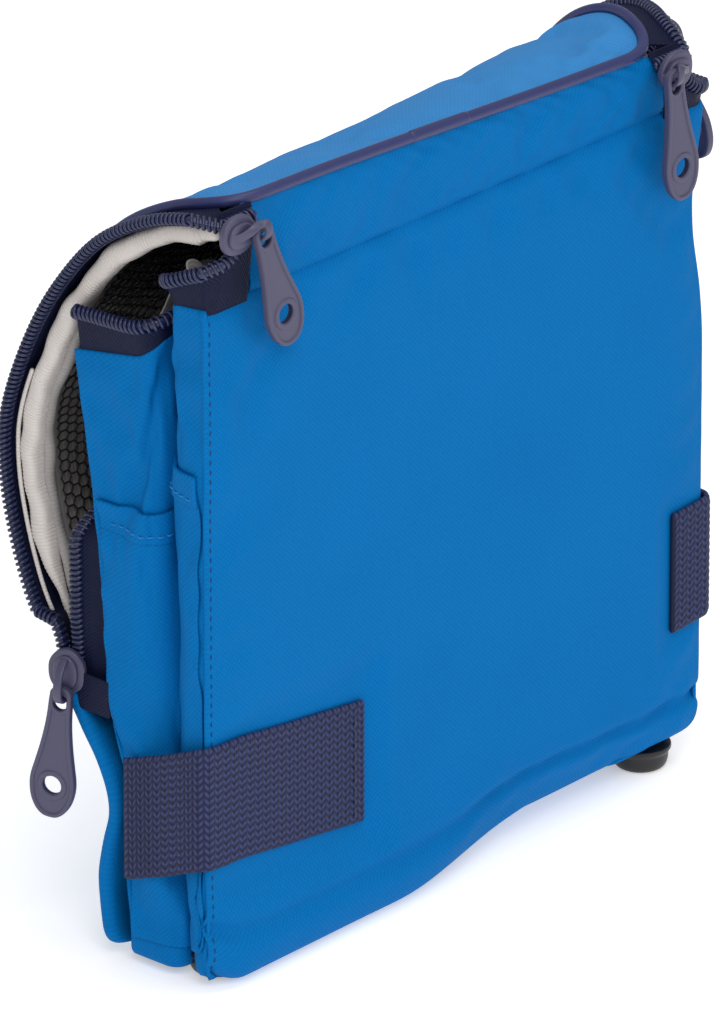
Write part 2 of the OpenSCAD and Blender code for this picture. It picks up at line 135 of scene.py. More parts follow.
def lid_points(x, share, depth=0.0):
    """Points of the lid at x and a share of the way from hinge to front edge, depth inside its skin."""
    x, share = np.broadcast_arrays(np.asarray(x, float), np.asarray(share, float))
    x = x - DRAWN_IN * smooth(np.clip((x - 30) / 55, 0, 1)) * (1 - smooth(np.clip(share / 0.2, 0, 1)))
    blend = smooth(np.clip((x + EDGE_X) / (2 * EDGE_X), 0, 1))[..., None]

    def profile_at(place):
        return along(LEFT_PROFILE, place) * (1 - blend) + along(RIGHT_PROFILE, place) * blend

    y, z = offset_profile(profile_at, share, depth)
    return np.stack([x, y, z], -1)


def resampled(points, step, others=()):
    """The line as points a step apart, with the other arrays carried along it."""
    points = np.array(points, float)
    walked = np.concatenate([[0], np.cumsum(np.linalg.norm(np.diff(points, axis=0), axis=1))])
    count = max(int(round(walked[-1] / step)), 2)
    places = np.linspace(0, walked[-1], count + 1)
    carried = [np.array(other, float) for other in (points, *others)]
    return [np.stack([np.interp(places, walked, c[:, k]) for k in range(3)], 1) for c in carried]


def grid_normals(grid):
    return unit(np.cross(np.gradient(grid, axis=0), np.gradient(grid, axis=1)))


def grid_weave(grid):
    """Distances along the rows and columns of a grid, which the woven materials follow."""
    u = np.linalg.norm(np.diff(grid, axis=0, prepend=grid[:1]), axis=2).cumsum(axis=0).mean(axis=1)
    v = np.linalg.norm(np.diff(grid, axis=1, prepend=grid[:, :1]), axis=2).cumsum(axis=1).mean(axis=0)
    return np.stack(np.meshgrid(u, v, indexing="ij"), -1)


# ---- Shapes: points, faces and weave coordinates ----


def grid_faces(rows, cols, first=0, closed=False):
    """Four-sided faces of a grid of points; closed joins its last column to its first."""
    i, j = np.meshgrid(np.arange(rows - 1), np.arange(cols if closed else cols - 1), indexing="ij")
    k = (j + 1) % cols
    quads = np.stack([i * cols + j, (i + 1) * cols + j, (i + 1) * cols + k, i * cols + k], -1)
    return (quads.reshape(-1, 4) + first).tolist()


def border(rows, cols):
    """Border of a grid, anticlockwise seen from its outer side, and each point's neighbour inside it."""
    up = [(i, 0) for i in range(rows - 1)]
    across = [(rows - 1, j) for j in range(cols - 1)]
    down = [(i, cols - 1) for i in range(rows - 1, 0, -1)]
    back = [(0, j) for j in range(cols - 1, 0, -1)]
    loop = np.array(up + across + down + back)
    inside = np.clip(loop, 1, [rows - 2, cols - 2]) if min(rows, cols) > 2 else np.clip(loop, [0, 0], [0, 0])
    return loop[:, 0] * cols + loop[:, 1], inside[:, 0] * cols + inside[:, 1]


def sheet_shape(grid, thickness):
    """Closed layer of cloth with a rounded rim, whose outer face is the grid."""
    rows, cols = grid.shape[:2]
    count = rows * cols
    outer = grid.reshape(-1, 3)
    normals = grid_normals(grid).reshape(-1, 3)
    weave = grid_weave(grid).reshape(-1, 2)
    inner = outer - normals * thickness
    faces = grid_faces(rows, cols)
    faces += [[count + k for k in reversed(face)] for face in faces]
    loop, inside = border(rows, cols)
    middle = (outer[loop] + inner[loop]) / 2
    beyond = unit(outer[loop] - outer[inside])
    points, weaves = [outer, inner], [weave, weave]
    rings = 3
    above = loop
    for ring in range(1, rings + 2):
        if ring <= rings:
            angle = math.pi * ring / (rings + 1)
            reach = beyond * math.sin(angle) + normals[loop] * math.cos(angle)
            below = 2 * count + (ring - 1) * len(loop) + np.arange(len(loop))
            points.append(middle + reach * thickness / 2)
            weaves.append(weave[loop])
        else:
            below = loop + count
        faces += np.stack([below, np.roll(below, -1), np.roll(above, -1), above], 1).tolist()
        above = below
    return np.concatenate(points), faces, np.concatenate(weaves)


def line_frames(line, across):
    """Tangent, sideways and upward directions along a line; across is roughly sideways."""
    tangent = unit(np.gradient(line, axis=0))
    side = unit(across - (across * tangent).sum(1, keepdims=True) * tangent)
    return tangent, side, np.cross(tangent, side)


def tube_shape(line, half_width, half_height=None, across=(0, 0, 1), sides=12, boxiness=2.0, caps=True):
    """Tube along a line, with rounded ends; boxiness 2 gives an ellipse and more gives a flatter band."""
    line = np.array(line, float)
    count = len(line)
    across = np.broadcast_to(np.array(across, float), line.shape)
    tangent, side, upward = line_frames(line, across)
    half_width = np.broadcast_to(np.asarray(half_width, float), count)
    if half_height is None:
        half_height = half_width
    half_height = np.broadcast_to(np.asarray(half_height, float), count)
    walked = np.concatenate([[0], np.cumsum(np.linalg.norm(np.diff(line, axis=0), axis=1))])
    rows = [(k, 0.0, 1.0) for k in range(count)]
    if caps:
        bend = [(math.sin(a), math.cos(a)) for a in (0.5, 1.0, 1.45)]
        rows = [(0, -s, c) for s, c in reversed(bend)] + rows + [(count - 1, s, c) for s, c in bend]
    index = np.array([r[0] for r in rows])
    forward = np.array([r[1] for r in rows])[:, None]
    scale = np.array([r[2] for r in rows])[:, None]
    radius = np.minimum(half_width, half_height)[index][:, None]
    angles = np.linspace(0, 2 * math.pi, sides, endpoint=False)
    wide = np.sign(np.cos(angles)) * np.abs(np.cos(angles)) ** (2 / boxiness)
    high = np.sign(np.sin(angles)) * np.abs(np.sin(angles)) ** (2 / boxiness)
    centres = line[index] + tangent[index] * forward * radius
    a = (half_width[index][:, None] * scale * wide)[..., None] * side[index][:, None]
    b = (half_height[index][:, None] * scale * high)[..., None] * upward[index][:, None]
    points = (centres[:, None] + a + b).reshape(-1, 3)
    faces = [face[::-1] for face in grid_faces(len(rows), sides, closed=True)]
    last = (len(rows) - 1) * sides
    faces.append(list(range(sides - 1, -1, -1)))
    faces.append([last + k for k in range(sides)])
    around = angles * float(half_width.mean())
    weave = np.stack(np.meshgrid(walked[index], around, indexing="ij"), -1).reshape(-1, 2)
    return points, faces, weave


def helix_shape(line, across, half_width, half_height, pitch, wire):
    """Coil of wire wound along a line."""
    turns_per_step = 14
    line, across = resampled(line, pitch / turns_per_step, [across])
    _, side, upward = line_frames(line, across)
    angle = np.arange(len(line))[:, None] * 2 * math.pi / turns_per_step
    wound = line + side * half_width * np.cos(angle) + upward * half_height * np.sin(angle)
    outward = side * np.cos(angle) + upward * np.sin(angle)
    return tube_shape(wound, wire, across=outward, sides=7)


def stitch_shapes(line, normals, length=2.3, gap=0.8, radius=0.3):
    """Row of stitches along a line on a surface, each one dipping into the cloth at its ends."""
    line, normals = resampled(line, (length + gap) / 6, [np.broadcast_to(normals, np.shape(line))])
    lift = np.array([-1.5, 0.35, 0.8, 0.35, -1.5])[:, None] * radius
    shapes = []
    for first in range(0, len(line) - 5, 6):
        part = slice(first, first + 5)
        thread = line[part] + unit(normals[part]) * lift
        shapes.append(tube_shape(thread, radius, across=normals[part], sides=6))
    return shapes


def spread(coarse, fine):
    """Weights that turn values at coarse places into smooth values at fine places."""
    places = np.linspace(0, 1, fine)
    return np.stack([along(np.eye(coarse)[:, [k]], places)[:, 0] for k in range(coarse)], 1)


# ---- Padding: cloth simulation under pressure ----

SIM_FRAMES = 20
# How much larger than its outline each simulated cloth is
CLOTH_SLACK = 0.012


def simulated(grid, held):
    """Grid of points in metres after a short cloth simulation under pressure; held points stay put."""
    rows, cols = grid.shape[:2]
    mesh = bpy.data.meshes.new("padding")
    mesh.from_pydata(grid.reshape(-1, 3).tolist(), [], grid_faces(rows, cols))
    padding = bpy.data.objects.new("padding", mesh)
    bpy.context.scene.collection.objects.link(padding)
    group = padding.vertex_groups.new(name="held")
    group.add([int(k) for k in held], 1.0, "REPLACE")
    cloth = padding.modifiers.new("cloth", "CLOTH")
    cloth.settings.quality = 6
    cloth.settings.mass = 0.25
    cloth.settings.bending_stiffness = 0.6
    cloth.settings.shrink_min = -CLOTH_SLACK
    cloth.settings.use_pressure = True
    cloth.settings.uniform_pressure_force = 4
    cloth.settings.effector_weights.gravity = 0
    cloth.settings.vertex_group_mass = "held"
    cloth.point_cache.frame_start = 1
    cloth.point_cache.frame_end = SIM_FRAMES
    for step in range(1, SIM_FRAMES + 1):
        bpy.context.scene.frame_set(step)
    shown = padding.evaluated_get(bpy.context.evaluated_depsgraph_get())
    places = np.zeros(rows * cols * 3)
    shown.data.vertices.foreach_get("co", places)
    bpy.data.objects.remove(padding)
    bpy.data.meshes.remove(mesh)
    bpy.context.scene.frame_set(1)
    return places.reshape(rows, cols, 3)


def padded_grid(surface, coarse, fine, cap, held_cols=()):
    """Fine grid of a surface(a, b), swollen by a cloth simulation whose points move by at most cap."""
    rows, cols = coarse
    a, b = np.meshgrid(np.linspace(0, 1, rows), np.linspace(0, 1, cols), indexing="ij")
    grid = surface(a, b)
    held = set(border(rows, cols)[0]) | {i * cols + j for i in range(rows) for j in held_cols}
    moved = (simulated(to_row(grid), sorted(held)) - to_row(grid)) / MM
    reach = np.maximum(np.linalg.norm(moved, axis=2, keepdims=True), 1e-6)
    moved *= cap * np.tanh(reach / cap) / reach
    fine_a, fine_b = np.meshgrid(np.linspace(0, 1, fine[0]), np.linspace(0, 1, fine[1]), indexing="ij")
    swell = np.einsum("fr,rck,gc->fgk", spread(rows, fine[0]), moved, spread(cols, fine[1]))
    return surface(fine_a, fine_b) + swell


# ---- Materials ----


def new_material(name, roughness, sheen=0.0, coat=0.0):
    material = bpy.data.materials.new(name)
    material.use_nodes = True
    shader = material.node_tree.nodes["Principled BSDF"]
    shader.inputs["Roughness"].default_value = roughness
    shader.inputs["Sheen Weight"].default_value = sheen
    shader.inputs["Coat Weight"].default_value = coat
    return material, material.node_tree, shader


def put(tree, socket, value):
    """Gives a socket a link, a colour or a plain value."""
    if isinstance(value, bpy.types.NodeSocket):
        tree.links.new(value, socket)
    elif isinstance(value, (tuple, list)):
        socket.default_value = (*value, 1.0) if len(value) == 3 else value
    else:
        socket.default_value = value


def maths(tree, operation, *values):
    node = tree.nodes.new("ShaderNodeMath")
    node.operation = operation
    for socket, value in zip(node.inputs, values):
        put(tree, socket, value)
    return node.outputs[0]


def wave(tree, distance, pitch, phase=0.0):
    """Sine from 0 to 1 along a distance in metres, with a pitch in millimetres."""
    angle = maths(tree, "MULTIPLY_ADD", distance, 2 * math.pi / (pitch * MM), phase)
    return maths(tree, "MULTIPLY_ADD", maths(tree, "SINE", angle), 0.5, 0.5)


def weave_axes(tree):
    """Distances along and across the cloth, and both as one vector."""
    node = tree.nodes.new("ShaderNodeAttribute")
    node.attribute_name = "weave"
    split = tree.nodes.new("ShaderNodeSeparateXYZ")
    tree.links.new(node.outputs["Vector"], split.inputs[0])
    return split.outputs[0], split.outputs[1], node.outputs["Vector"]


def object_place(tree):
    return tree.nodes.new("ShaderNodeTexCoord").outputs["Object"]


def noise(tree, place, size, detail=3.0):
    """Soft noise from 0 to 1, with features of about that size in millimetres."""
    node = tree.nodes.new("ShaderNodeTexNoise")
    tree.links.new(place, node.inputs["Vector"])
    node.inputs["Scale"].default_value = 1 / (size * MM)
    node.inputs["Detail"].default_value = detail
    return node.outputs[0]


def paint(tree, shader, share, dark, light):
    """Base colour between dark and light."""
    node = tree.nodes.new("ShaderNodeMix")
    node.data_type = "RGBA"
    put(tree, node.inputs["Factor"], share)
    put(tree, node.inputs["A"], dark)
    put(tree, node.inputs["B"], light)
    tree.links.new(node.outputs["Result"], shader.inputs["Base Color"])


def emboss(tree, shader, height, depth):
    """Bump whose height of 1 stands depth millimetres proud."""
    node = tree.nodes.new("ShaderNodeBump")
    node.inputs["Strength"].default_value = 1.0
    node.inputs["Distance"].default_value = depth * MM
    tree.links.new(height, node.inputs["Height"])
    tree.links.new(node.outputs[0], shader.inputs["Normal"])


def darker(colour, share):
    return tuple(c * share for c in colour)


def woven_material(name, colour, contrast=0.22):
    """Plain weave of coarse polyester thread, whose crossings read as fine diagonal rows."""
    thread, depth = 0.8, 0.09
    material, tree, shader = new_material(name, 0.72)
    shader.inputs["Specular IOR Level"].default_value = 0.06
    u, v, place = weave_axes(tree)
    across = maths(tree, "SINE", maths(tree, "MULTIPLY", u, math.pi / (thread * MM)))
    along_v = maths(tree, "SINE", maths(tree, "MULTIPLY", v, math.pi / (thread * MM)))
    crossing = maths(tree, "MULTIPLY_ADD", maths(tree, "MULTIPLY", across, along_v), 0.5, 0.5)
    diagonal = wave(tree, maths(tree, "ADD", u, v), thread * 2)
    height = maths(tree, "MULTIPLY_ADD", diagonal, 0.35, maths(tree, "MULTIPLY", crossing, 0.65))
    slub = noise(tree, place, 1.4, 2.0)
    shade = maths(tree, "MULTIPLY_ADD", slub, 0.45, maths(tree, "MULTIPLY", height, 0.75))
    cloud = noise(tree, place, 38, 2.0)
    share = maths(tree, "MULTIPLY_ADD", cloud, 0.25, maths(tree, "MULTIPLY", shade, 0.8))
    light = tuple(min(c * (1 + contrast), 1) for c in colour)
    paint(tree, shader, share, darker(colour, 1 - contrast * 1.3), light)
    emboss(tree, shader, maths(tree, "MULTIPLY_ADD", slub, 0.25, height), depth)
    return material


def herringbone_material(name, colour):
    """Zipper tape: chevron ribs along the tape."""
    rib, column = 1.25, 4.2
    material, tree, shader = new_material(name, 0.6)
    shader.inputs["Specular IOR Level"].default_value = 0.15
    u, v, place = weave_axes(tree)
    fold = maths(tree, "PINGPONG", v, column * MM)
    ribs = wave(tree, maths(tree, "ADD", u, fold), rib)
    threads = wave(tree, maths(tree, "SUBTRACT", fold, u), rib * 0.42)
    height = maths(tree, "MULTIPLY_ADD", threads, 0.2, ribs)
    share = maths(tree, "MULTIPLY", height, maths(tree, "MULTIPLY_ADD", noise(tree, place, 3), 0.5, 0.6))
    paint(tree, shader, share, darker(colour, 0.45), tuple(c * 1.5 for c in colour))
    emboss(tree, shader, height, 0.13)
    return material


def ribbed_material(name, colour, rib=1.1):
    """Binding tape or lining: ribs across its length."""
    material, tree, shader = new_material(name, 0.65, sheen=0.1)
    u, v, place = weave_axes(tree)
    ribs = wave(tree, u, rib)
    fine = wave(tree, v, rib * 0.35)
    cloud = noise(tree, place, 9)
    share = maths(tree, "MULTIPLY_ADD", cloud, 0.5, maths(tree, "MULTIPLY", ribs, 0.5))
    paint(tree, shader, share, darker(colour, 0.84), colour)
    emboss(tree, shader, maths(tree, "MULTIPLY_ADD", fine, 0.15, ribs), 0.1)
    return material


def moulded_material(name, colour, roughness, grain=0.5, depth=0.02, coat=0.0, contrast=0.25):
    """Moulded rubber, nylon or enamel: a fine grain and slight mottling."""
    material, tree, shader = new_material(name, roughness, coat=coat)
    place = object_place(tree)
    mottle = noise(tree, place, 4, 4.0)
    fine = noise(tree, place, grain, 2.0)
    paint(tree, shader, mottle, darker(colour, 1 - contrast), tuple(c * (1 + contrast) for c in colour))
    rough = maths(tree, "MULTIPLY_ADD", mottle, 0.16, roughness - 0.08)
    tree.links.new(rough, shader.inputs["Roughness"])
    emboss(tree, shader, fine, depth)
    return material


def hook_material(name, colour):
    """Hook fastener: rows of tiny hooks."""
    material, tree, shader = new_material(name, 0.5)
    u, v, _ = weave_axes(tree)
    height = maths(tree, "MULTIPLY", wave(tree, u, 1.3), wave(tree, v, 1.1))
    paint(tree, shader, height, darker(colour, 0.5), tuple(c * 1.8 for c in colour))
    emboss(tree, shader, height, 0.3)
    return material


def webbing_material(name, colour):
    """Strap webbing: columns of slanted loops, in step with the relief of webbing_relief(), with painted shade
    in the gaps between them.
    """
    material, tree, shader = new_material(name, 0.6)
    shader.inputs["Specular IOR Level"].default_value = 0.2
    u, v, place = weave_axes(tree)
    fold = maths(tree, "PINGPONG", v, LOOP_COLUMN * MM)
    slant = maths(tree, "MULTIPLY_ADD", fold, LOOP_SLANT * LOOP_PITCH / LOOP_COLUMN, u)
    loops = wave(tree, slant, LOOP_PITCH)
    columns = maths(tree, "POWER", wave(tree, v, LOOP_COLUMN, -math.pi / 2), 0.5)
    fibres = noise(tree, place, 0.5, 2.0)
    # Darker in the gaps between loops and between columns: painted shade in the weave's hollows; the fibre
    # noise is the webbing's own uneven tone
    share = maths(tree, "MULTIPLY", maths(tree, "MULTIPLY", loops, columns), maths(tree, "ADD", fibres, 0.45))
    paint(tree, shader, share, darker(colour, 0.4), tuple(c * 1.8 for c in colour))
    emboss(tree, shader, fibres, 0.06)
    return material


LOOP_COLUMN = 1.75
LOOP_PITCH = 2.3
LOOP_SLANT = 0.75
BLUE = (0.0003, 0.144, 0.425)
MATERIALS = {
    "bag_fabric": woven_material("bag_fabric", BLUE),
    # The lid's fabric is the bag's blue painted lighter: painted light for the lid's upward face, which catches
    # more of the light
    "lid_fabric": woven_material("lid_fabric", (0.045, 0.240, 0.570), contrast=0.16),
    # The lining is painted a mid grey, darker than the light lining itself: painted shade for the dim inside of
    # the bag
    "lining": ribbed_material("lining", (0.36, 0.34, 0.335), rib=1.3),
    "binding": ribbed_material("binding", (0.74, 0.69, 0.66)),
    "mesh": moulded_material("mesh", (0.012, 0.012, 0.015), 0.6),
    "piping": moulded_material("piping", (0.022, 0.029, 0.125), 0.45, grain=0.8, contrast=0.12),
    "zip_tape": herringbone_material("zip_tape", (0.006, 0.009, 0.036)),
    "zip_coil": moulded_material("zip_coil", (0.012, 0.018, 0.070), 0.34, coat=0.1, contrast=0.15),
    "slider": moulded_material("slider", (0.062, 0.060, 0.120), 0.42, contrast=0.12),
    "pull_rubber": moulded_material("pull_rubber", (0.066, 0.062, 0.122), 0.5, contrast=0.12, depth=0.03),
    "webbing": webbing_material("webbing", (0.028, 0.036, 0.105)),
    "hook_tape": hook_material("hook_tape", (0.014, 0.015, 0.040)),
    "foot_rubber": moulded_material("foot_rubber", (0.009, 0.007, 0.007), 0.42, contrast=0.3),
}
THREAD_BLUE = moulded_material("thread_blue", (0.010, 0.200, 0.560), 0.8, grain=0.2)
THREAD_DARK = moulded_material("thread_dark", (0.001, 0.040, 0.150), 0.95, grain=0.2)
THREAD_NAVY = moulded_material("thread_navy", (0.030, 0.032, 0.090), 0.5, grain=0.2)

# ---- Pieces ----


def merged(shapes):
    """Several shapes as one set of points, faces and weave coordinates."""
    points, faces, weaves, first = [], [], [], 0
    for shape_points, shape_faces, weave in shapes:
        faces += [[k + first for k in face] for face in shape_faces]
        points.append(shape_points)
        weaves.append(weave)
        first += len(shape_points)
    return np.concatenate(points), faces, np.concatenate(weaves)


def add_mesh(name, shapes, material):
    """Mesh object made of shapes, which carries their weave coordinates."""
    points, faces, weave = merged(shapes)
    mesh = bpy.data.meshes.new(name)
    mesh.from_pydata(to_row(points).tolist(), [], faces)
    attribute = mesh.attributes.new("weave", "FLOAT_VECTOR", "POINT")
    flat = np.concatenate([weave * MM, np.zeros((len(weave), 1))], 1).astype(np.float32)
    attribute.data.foreach_set("vector", flat.ravel())
    mesh.materials.append(material)
    mesh.shade_smooth()
    made = bpy.data.objects.new(name, mesh)
    bpy.context.scene.collection.objects.link(made)
    return made


# Stretches over which soft pieces would bend between the back and the front shell, from one point to another;
# nothing bends them
PLEAT_BLEND = [(0, 12.8, 0), (0, 16.6, -0.0665)]
LID_BLEND = [(0, 5, 0), (0, 54, 0)]
BASE_BLEND = [(0, 19.3, 0), (0, 21.7, 0)]


def bend_between(made, bends):
    """Bakes the piece's transform into its mesh; the two points of the stretch it would bend over are turned
    into metres and not used.
    """
    start, end = (tuple(to_row(point)) for point in bends)
    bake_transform(made)


def piece(name, slot, shapes, body="back_shell", bends=None, replaces=(), material=None):
    """A finished piece that rides on a body, or is baked in place without one where it would bend between the
    two shells, and stands for CAD nodes.
    """
    made = add_mesh(name, shapes, material or MATERIALS[slot])
    if bends:
        bend_between(made, bends)
    else:
        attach(made, body)
    if replaces:
        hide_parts(*replaces)
    return made


def declare_sheet(grid):
    """Measures a sheet's grid along its rows and columns, and keeps nothing of it."""
    weave = grid_weave(grid)


def cloth_piece(name, slot, grid, thickness, held, rests_on, **options):
    """A piece that is one sheet of cloth, whose outer face is the grid."""
    made = piece(name, slot, [sheet_shape(grid, thickness)], **options)
    declare_sheet(grid)
    return made


def padded_piece(name, slot, shapes, fill, **options):
    """A piece that is a cushion of cloth; its fill share is not used."""
    made = piece(name, slot, shapes, **options)
    return made


def mirrored(grid):
    """The same grid on the right end, with its outer side still outward."""
    return grid[::-1] * np.array([-1, 1, 1])


# ---- Camera, light and floor ----

CAMERA_TURN = math.radians(-47.94)
CAMERA_RISE = math.radians(24.19)
CAMERA_AWAY = 4.0
LENS = 472.6
# How far the picture's middle lies from the middle of the folded bag, along the camera's own axes
AIM_RIGHT = -0.00235
AIM_UP = -0.0153


def direction(turn, rise):
    """From the object towards a place seen at that azimuth and elevation."""
    return np.array([math.sin(turn) * math.cos(rise), -math.cos(turn) * math.cos(rise), math.sin(rise)])


def aim(thing, place, target):
    thing.location = place
    turn = (thing.location - thing.location.__class__(target)).to_track_quat("Z", "Y")
    thing.rotation_euler = turn.to_euler()


def add_camera():
    data = bpy.data.cameras.new("camera")
    data.lens = LENS
    data.clip_end = 50
    camera = bpy.data.objects.new("camera", data)
    bpy.context.scene.collection.objects.link(camera)
    away = direction(CAMERA_TURN, CAMERA_RISE)
    right = unit(np.cross(-away, [0, 0, 1]))
    up = np.cross(right, -away)
    middle = to_row([0, 36.1, 125])
    target = middle + right * AIM_RIGHT + up * AIM_UP
    aim(camera, target + away * CAMERA_AWAY, target)
    bpy.context.scene.camera = camera


def add_light(name, turn, rise, away, size, power):
    data = bpy.data.lights.new(name, "AREA")
    data.shape = "DISK"
    data.size = size
    data.energy = power
    light = bpy.data.objects.new(name, data)
    bpy.context.scene.collection.objects.link(light)
    target = np.array([0, 0, 0.1])
    aim(light, target + direction(math.radians(turn), math.radians(rise)) * away, target)


def add_floor():
    material, tree, shader = new_material("floor", 0.9)
    paint(tree, shader, noise(tree, object_place(tree), 400), (0.90, 0.895, 0.885), (0.92, 0.915, 0.905))
    shader.inputs["Emission Color"].default_value = (1.0, 0.995, 0.985, 1.0)
    shader.inputs["Emission Strength"].default_value = 0.42
    half = 6.0
    mesh = bpy.data.meshes.new("floor")
    corners = [(-half, -half, 0), (half, -half, 0), (half, half, 0), (-half, half, 0)]
    mesh.from_pydata(corners, [], [[0, 1, 2, 3]])
    mesh.materials.append(material)
    floor = bpy.data.objects.new("floor", mesh)
    bpy.context.scene.collection.objects.link(floor)


def add_world():
    world = bpy.data.worlds.new("studio")
    world.use_nodes = True
    background = world.node_tree.nodes["Background"]
    background.inputs["Color"].default_value = (1.0, 1.0, 1.0, 1.0)
    background.inputs["Strength"].default_value = 0.45
    bpy.context.scene.world = world


add_camera()
add_world()
add_floor()
add_light("key", -45, 45, 2.2, 1.2, 15)
add_light("front", 10, 25, 2.6, 1.6, 7.5)
add_light("top", 60, 82, 2.2, 1.6, 14)
bpy.context.scene.view_settings.view_transform = "Standard"

# ---- Back panel and hinge strip ----

SKIN = 1.3
ROLL_R = 7.0
ROLL_TURN = math.radians(80)
PANEL_DROP = CREASE_Z - FOOT_H - 0.4 - ROLL_R
PANEL_LENGTH = PANEL_DROP + ROLL_R * ROLL_TURN
GROOVE_UP = 17.0
# How far the lower edge hangs over the left foot
SLUMP = 7.9


def corner_cut(distance, radius):
    """How far a rounded corner has drawn in, at a distance from the edge that ends it."""
    reach = radius - np.clip(distance, 0, radius)
    return radius - np.sqrt(np.maximum(radius**2 - reach**2, 0))


def waist(z):
    """How far the right edge of the folded bag is drawn in below its upper corner."""
    return 5.5 * np.exp(-(((z - 184) / 24) ** 2))


def panel_surface(a, b):
    """Back panel: a runs down from the crease and round the rolled lower edge, b along the width."""
    walked = a * PANEL_LENGTH
    turn = np.clip((walked - PANEL_DROP) / ROLL_R, 0, ROLL_TURN)
    left_over = PANEL_LENGTH - walked
    half = EDGE_X - corner_cut(left_over, 6 + 9 * b)
    x = (2 * b - 1) * half - waist(CREASE_Z - walked) * b**6
    groove = 2.6 * np.exp(-(((left_over - GROOVE_UP) / 2.3) ** 2)) + 1.5 * np.exp(-((walked / 1.6) ** 2))
    low = smooth(np.clip((walked - PANEL_DROP + 26) / 30, 0, 1))
    slump = SLUMP * low * smooth(np.clip((x + 116) / 20, 0, 1)) * (1 - smooth(np.clip((x + 30) / 75, 0, 1)))
    y = ROLL_R * (1 - np.cos(turn)) + groove - 0.5 * slump
    z = CREASE_Z - np.minimum(walked, PANEL_DROP) - ROLL_R * np.sin(turn) - slump
    return np.stack([x, y, z], -1)


def strip_surface(a, b):
    """Hinge strip: a runs down from the lid to the crease, b along the width; its right end is rounded."""
    left = -STRIP_X - 4 + 5 * a
    right = STRIP_X + 1 - corner_cut(a * (STRIP_TOP - CREASE_Z), 12)
    top = lid_points(left + (right - left) * b, 0.0)[..., 2] - 0.9
    z = top + (CREASE_Z + 0.2 - top) * a
    crease = 1.5 * np.exp(-(((z - CREASE_Z) / 1.8) ** 2))
    return np.stack([left + (right - left) * b, crease, z], -1)


def pressed(grid, x_range, z_range, depth):
    """The grid with its padding pressed flat under a strap, easing out around it."""
    beyond_x = np.maximum(x_range[0] - grid[..., 0], grid[..., 0] - x_range[1])
    beyond_z = np.maximum(z_range[0] - grid[..., 2], grid[..., 2] - z_range[1])
    away = np.hypot(np.clip(beyond_x, 0, None), np.clip(beyond_z, 0, None))
    flat = grid.copy()
    flat[..., 1] = np.maximum(grid[..., 1], depth - 0.3 * away)
    return flat


panel_grid = padded_grid(panel_surface, (30, 31), (160, 161), 3.0)
panel_grid = pressed(panel_grid, (-EDGE_X, -43), (33, 82), -0.3)
panel_grid = pressed(panel_grid, (95, EDGE_X), (47, 88), -0.3)
back_panel = padded_piece("back_panel_padded", "bag_fabric", [sheet_shape(panel_grid, SKIN)], 0.5,
                          replaces=["back_panel", "back_foam"])

strip_grid = padded_grid(strip_surface, (9, 41), (34, 180), 1.8)
padded_piece("hinge_strip_padded", "bag_fabric", [sheet_shape(strip_grid, SKIN)], 0.4,
             replaces=["hinge_strip"])


def grid_line(grid, row=None, col=None, lift=0.0):
    """A row or a column of a grid and its normals, lifted off the surface."""
    normals = grid_normals(grid)
    pick = (slice(None), col) if row is None else (row, slice(None))
    return grid[pick] + normals[pick] * lift, normals[pick]


def seam(name, slot, rows, material, body="back_shell", bends=None, **sizes):
    """Rows of stitches as one piece."""
    shapes = [shape for line, normals in rows for shape in stitch_shapes(line, normals, **sizes)]
    return piece(name, slot, shapes, body, bends, material=material)


seam("back_panel_seam", "bag_fabric", [grid_line(panel_grid, col=1)], THREAD_DARK, radius=0.19)

# ---- Lid ----

LID_CORNER = 15.0
# Length of cloth that a whole share would cover, at the pace beside the hinge and on average
FIRST_RUN = 9 * 19.0
LID_RUN = 9 * 22.0
LID_FRONT = 0.985


def lid_half(share):
    """Half the lid's width at a share of the way down it, with rounded corners at the hinge."""
    return LID_X - corner_cut(np.asarray(share) * FIRST_RUN, LID_CORNER)


def lid_surface(a, b):
    share = 0.012 + (LID_FRONT - 0.012) * b
    return lid_points((2 * a - 1) * lid_half(share), share)


lid_grid = padded_grid(lid_surface, (31, 37), (150, 170), 4.5)
lid_cover = padded_piece("lid_padded", "lid_fabric", [sheet_shape(lid_grid, SKIN)], 0.6, bends=LID_BLEND,
                         replaces=["lid_cover", "lid_foam"])

a_grid, b_grid = np.meshgrid(np.linspace(0, 1, 60), np.linspace(0, 1, 90), indexing="ij")


def lid_layer(half, first, last, depth, ripple=0.0):
    """Sheet of points under the lid, between two shares of the way down it."""
    share = first + (last - first) * b_grid
    wavy = depth + ripple * np.sin(a_grid * 31 + b_grid * 7) * np.sin(b_grid * 23 + 1)
    return lid_points((2 * a_grid - 1) * half, share, wavy)


lining_grid = lid_layer(LID_X + 3, 0.04, 0.98, 5.2, ripple=0.35)
welt_share = np.linspace(0.40, 0.965, 160)
welts = []
for side in (-1, 1):
    sway = 0.5 * np.sin(welt_share * 31) + 0.3 * np.sin(welt_share * 67 + 1)
    line = lid_points(side * (LID_X + 4.0), welt_share, 9.3 + sway)
    welts.append(tube_shape(resampled(line, 0.7)[0], 1.9, 1.9, across=(1, 0, 0), sides=12))
lid_lining = cloth_piece("lid_lining_sheet", "lining", lining_grid, 0.6, "stretched", [lid_cover],
                         bends=LID_BLEND, replaces=["lid_lining"])
piece("lid_lining_welts", "lining", welts, bends=LID_BLEND)

hem_grid = lid_layer(LID_X - 3, 0.045, 0.30, 7.2, ripple=0.25)
pocket_hem = piece("mesh_pocket_band", "mesh", [sheet_shape(hem_grid, 0.7)], bends=LID_BLEND,
                   replaces=["mesh_pocket_hem"])


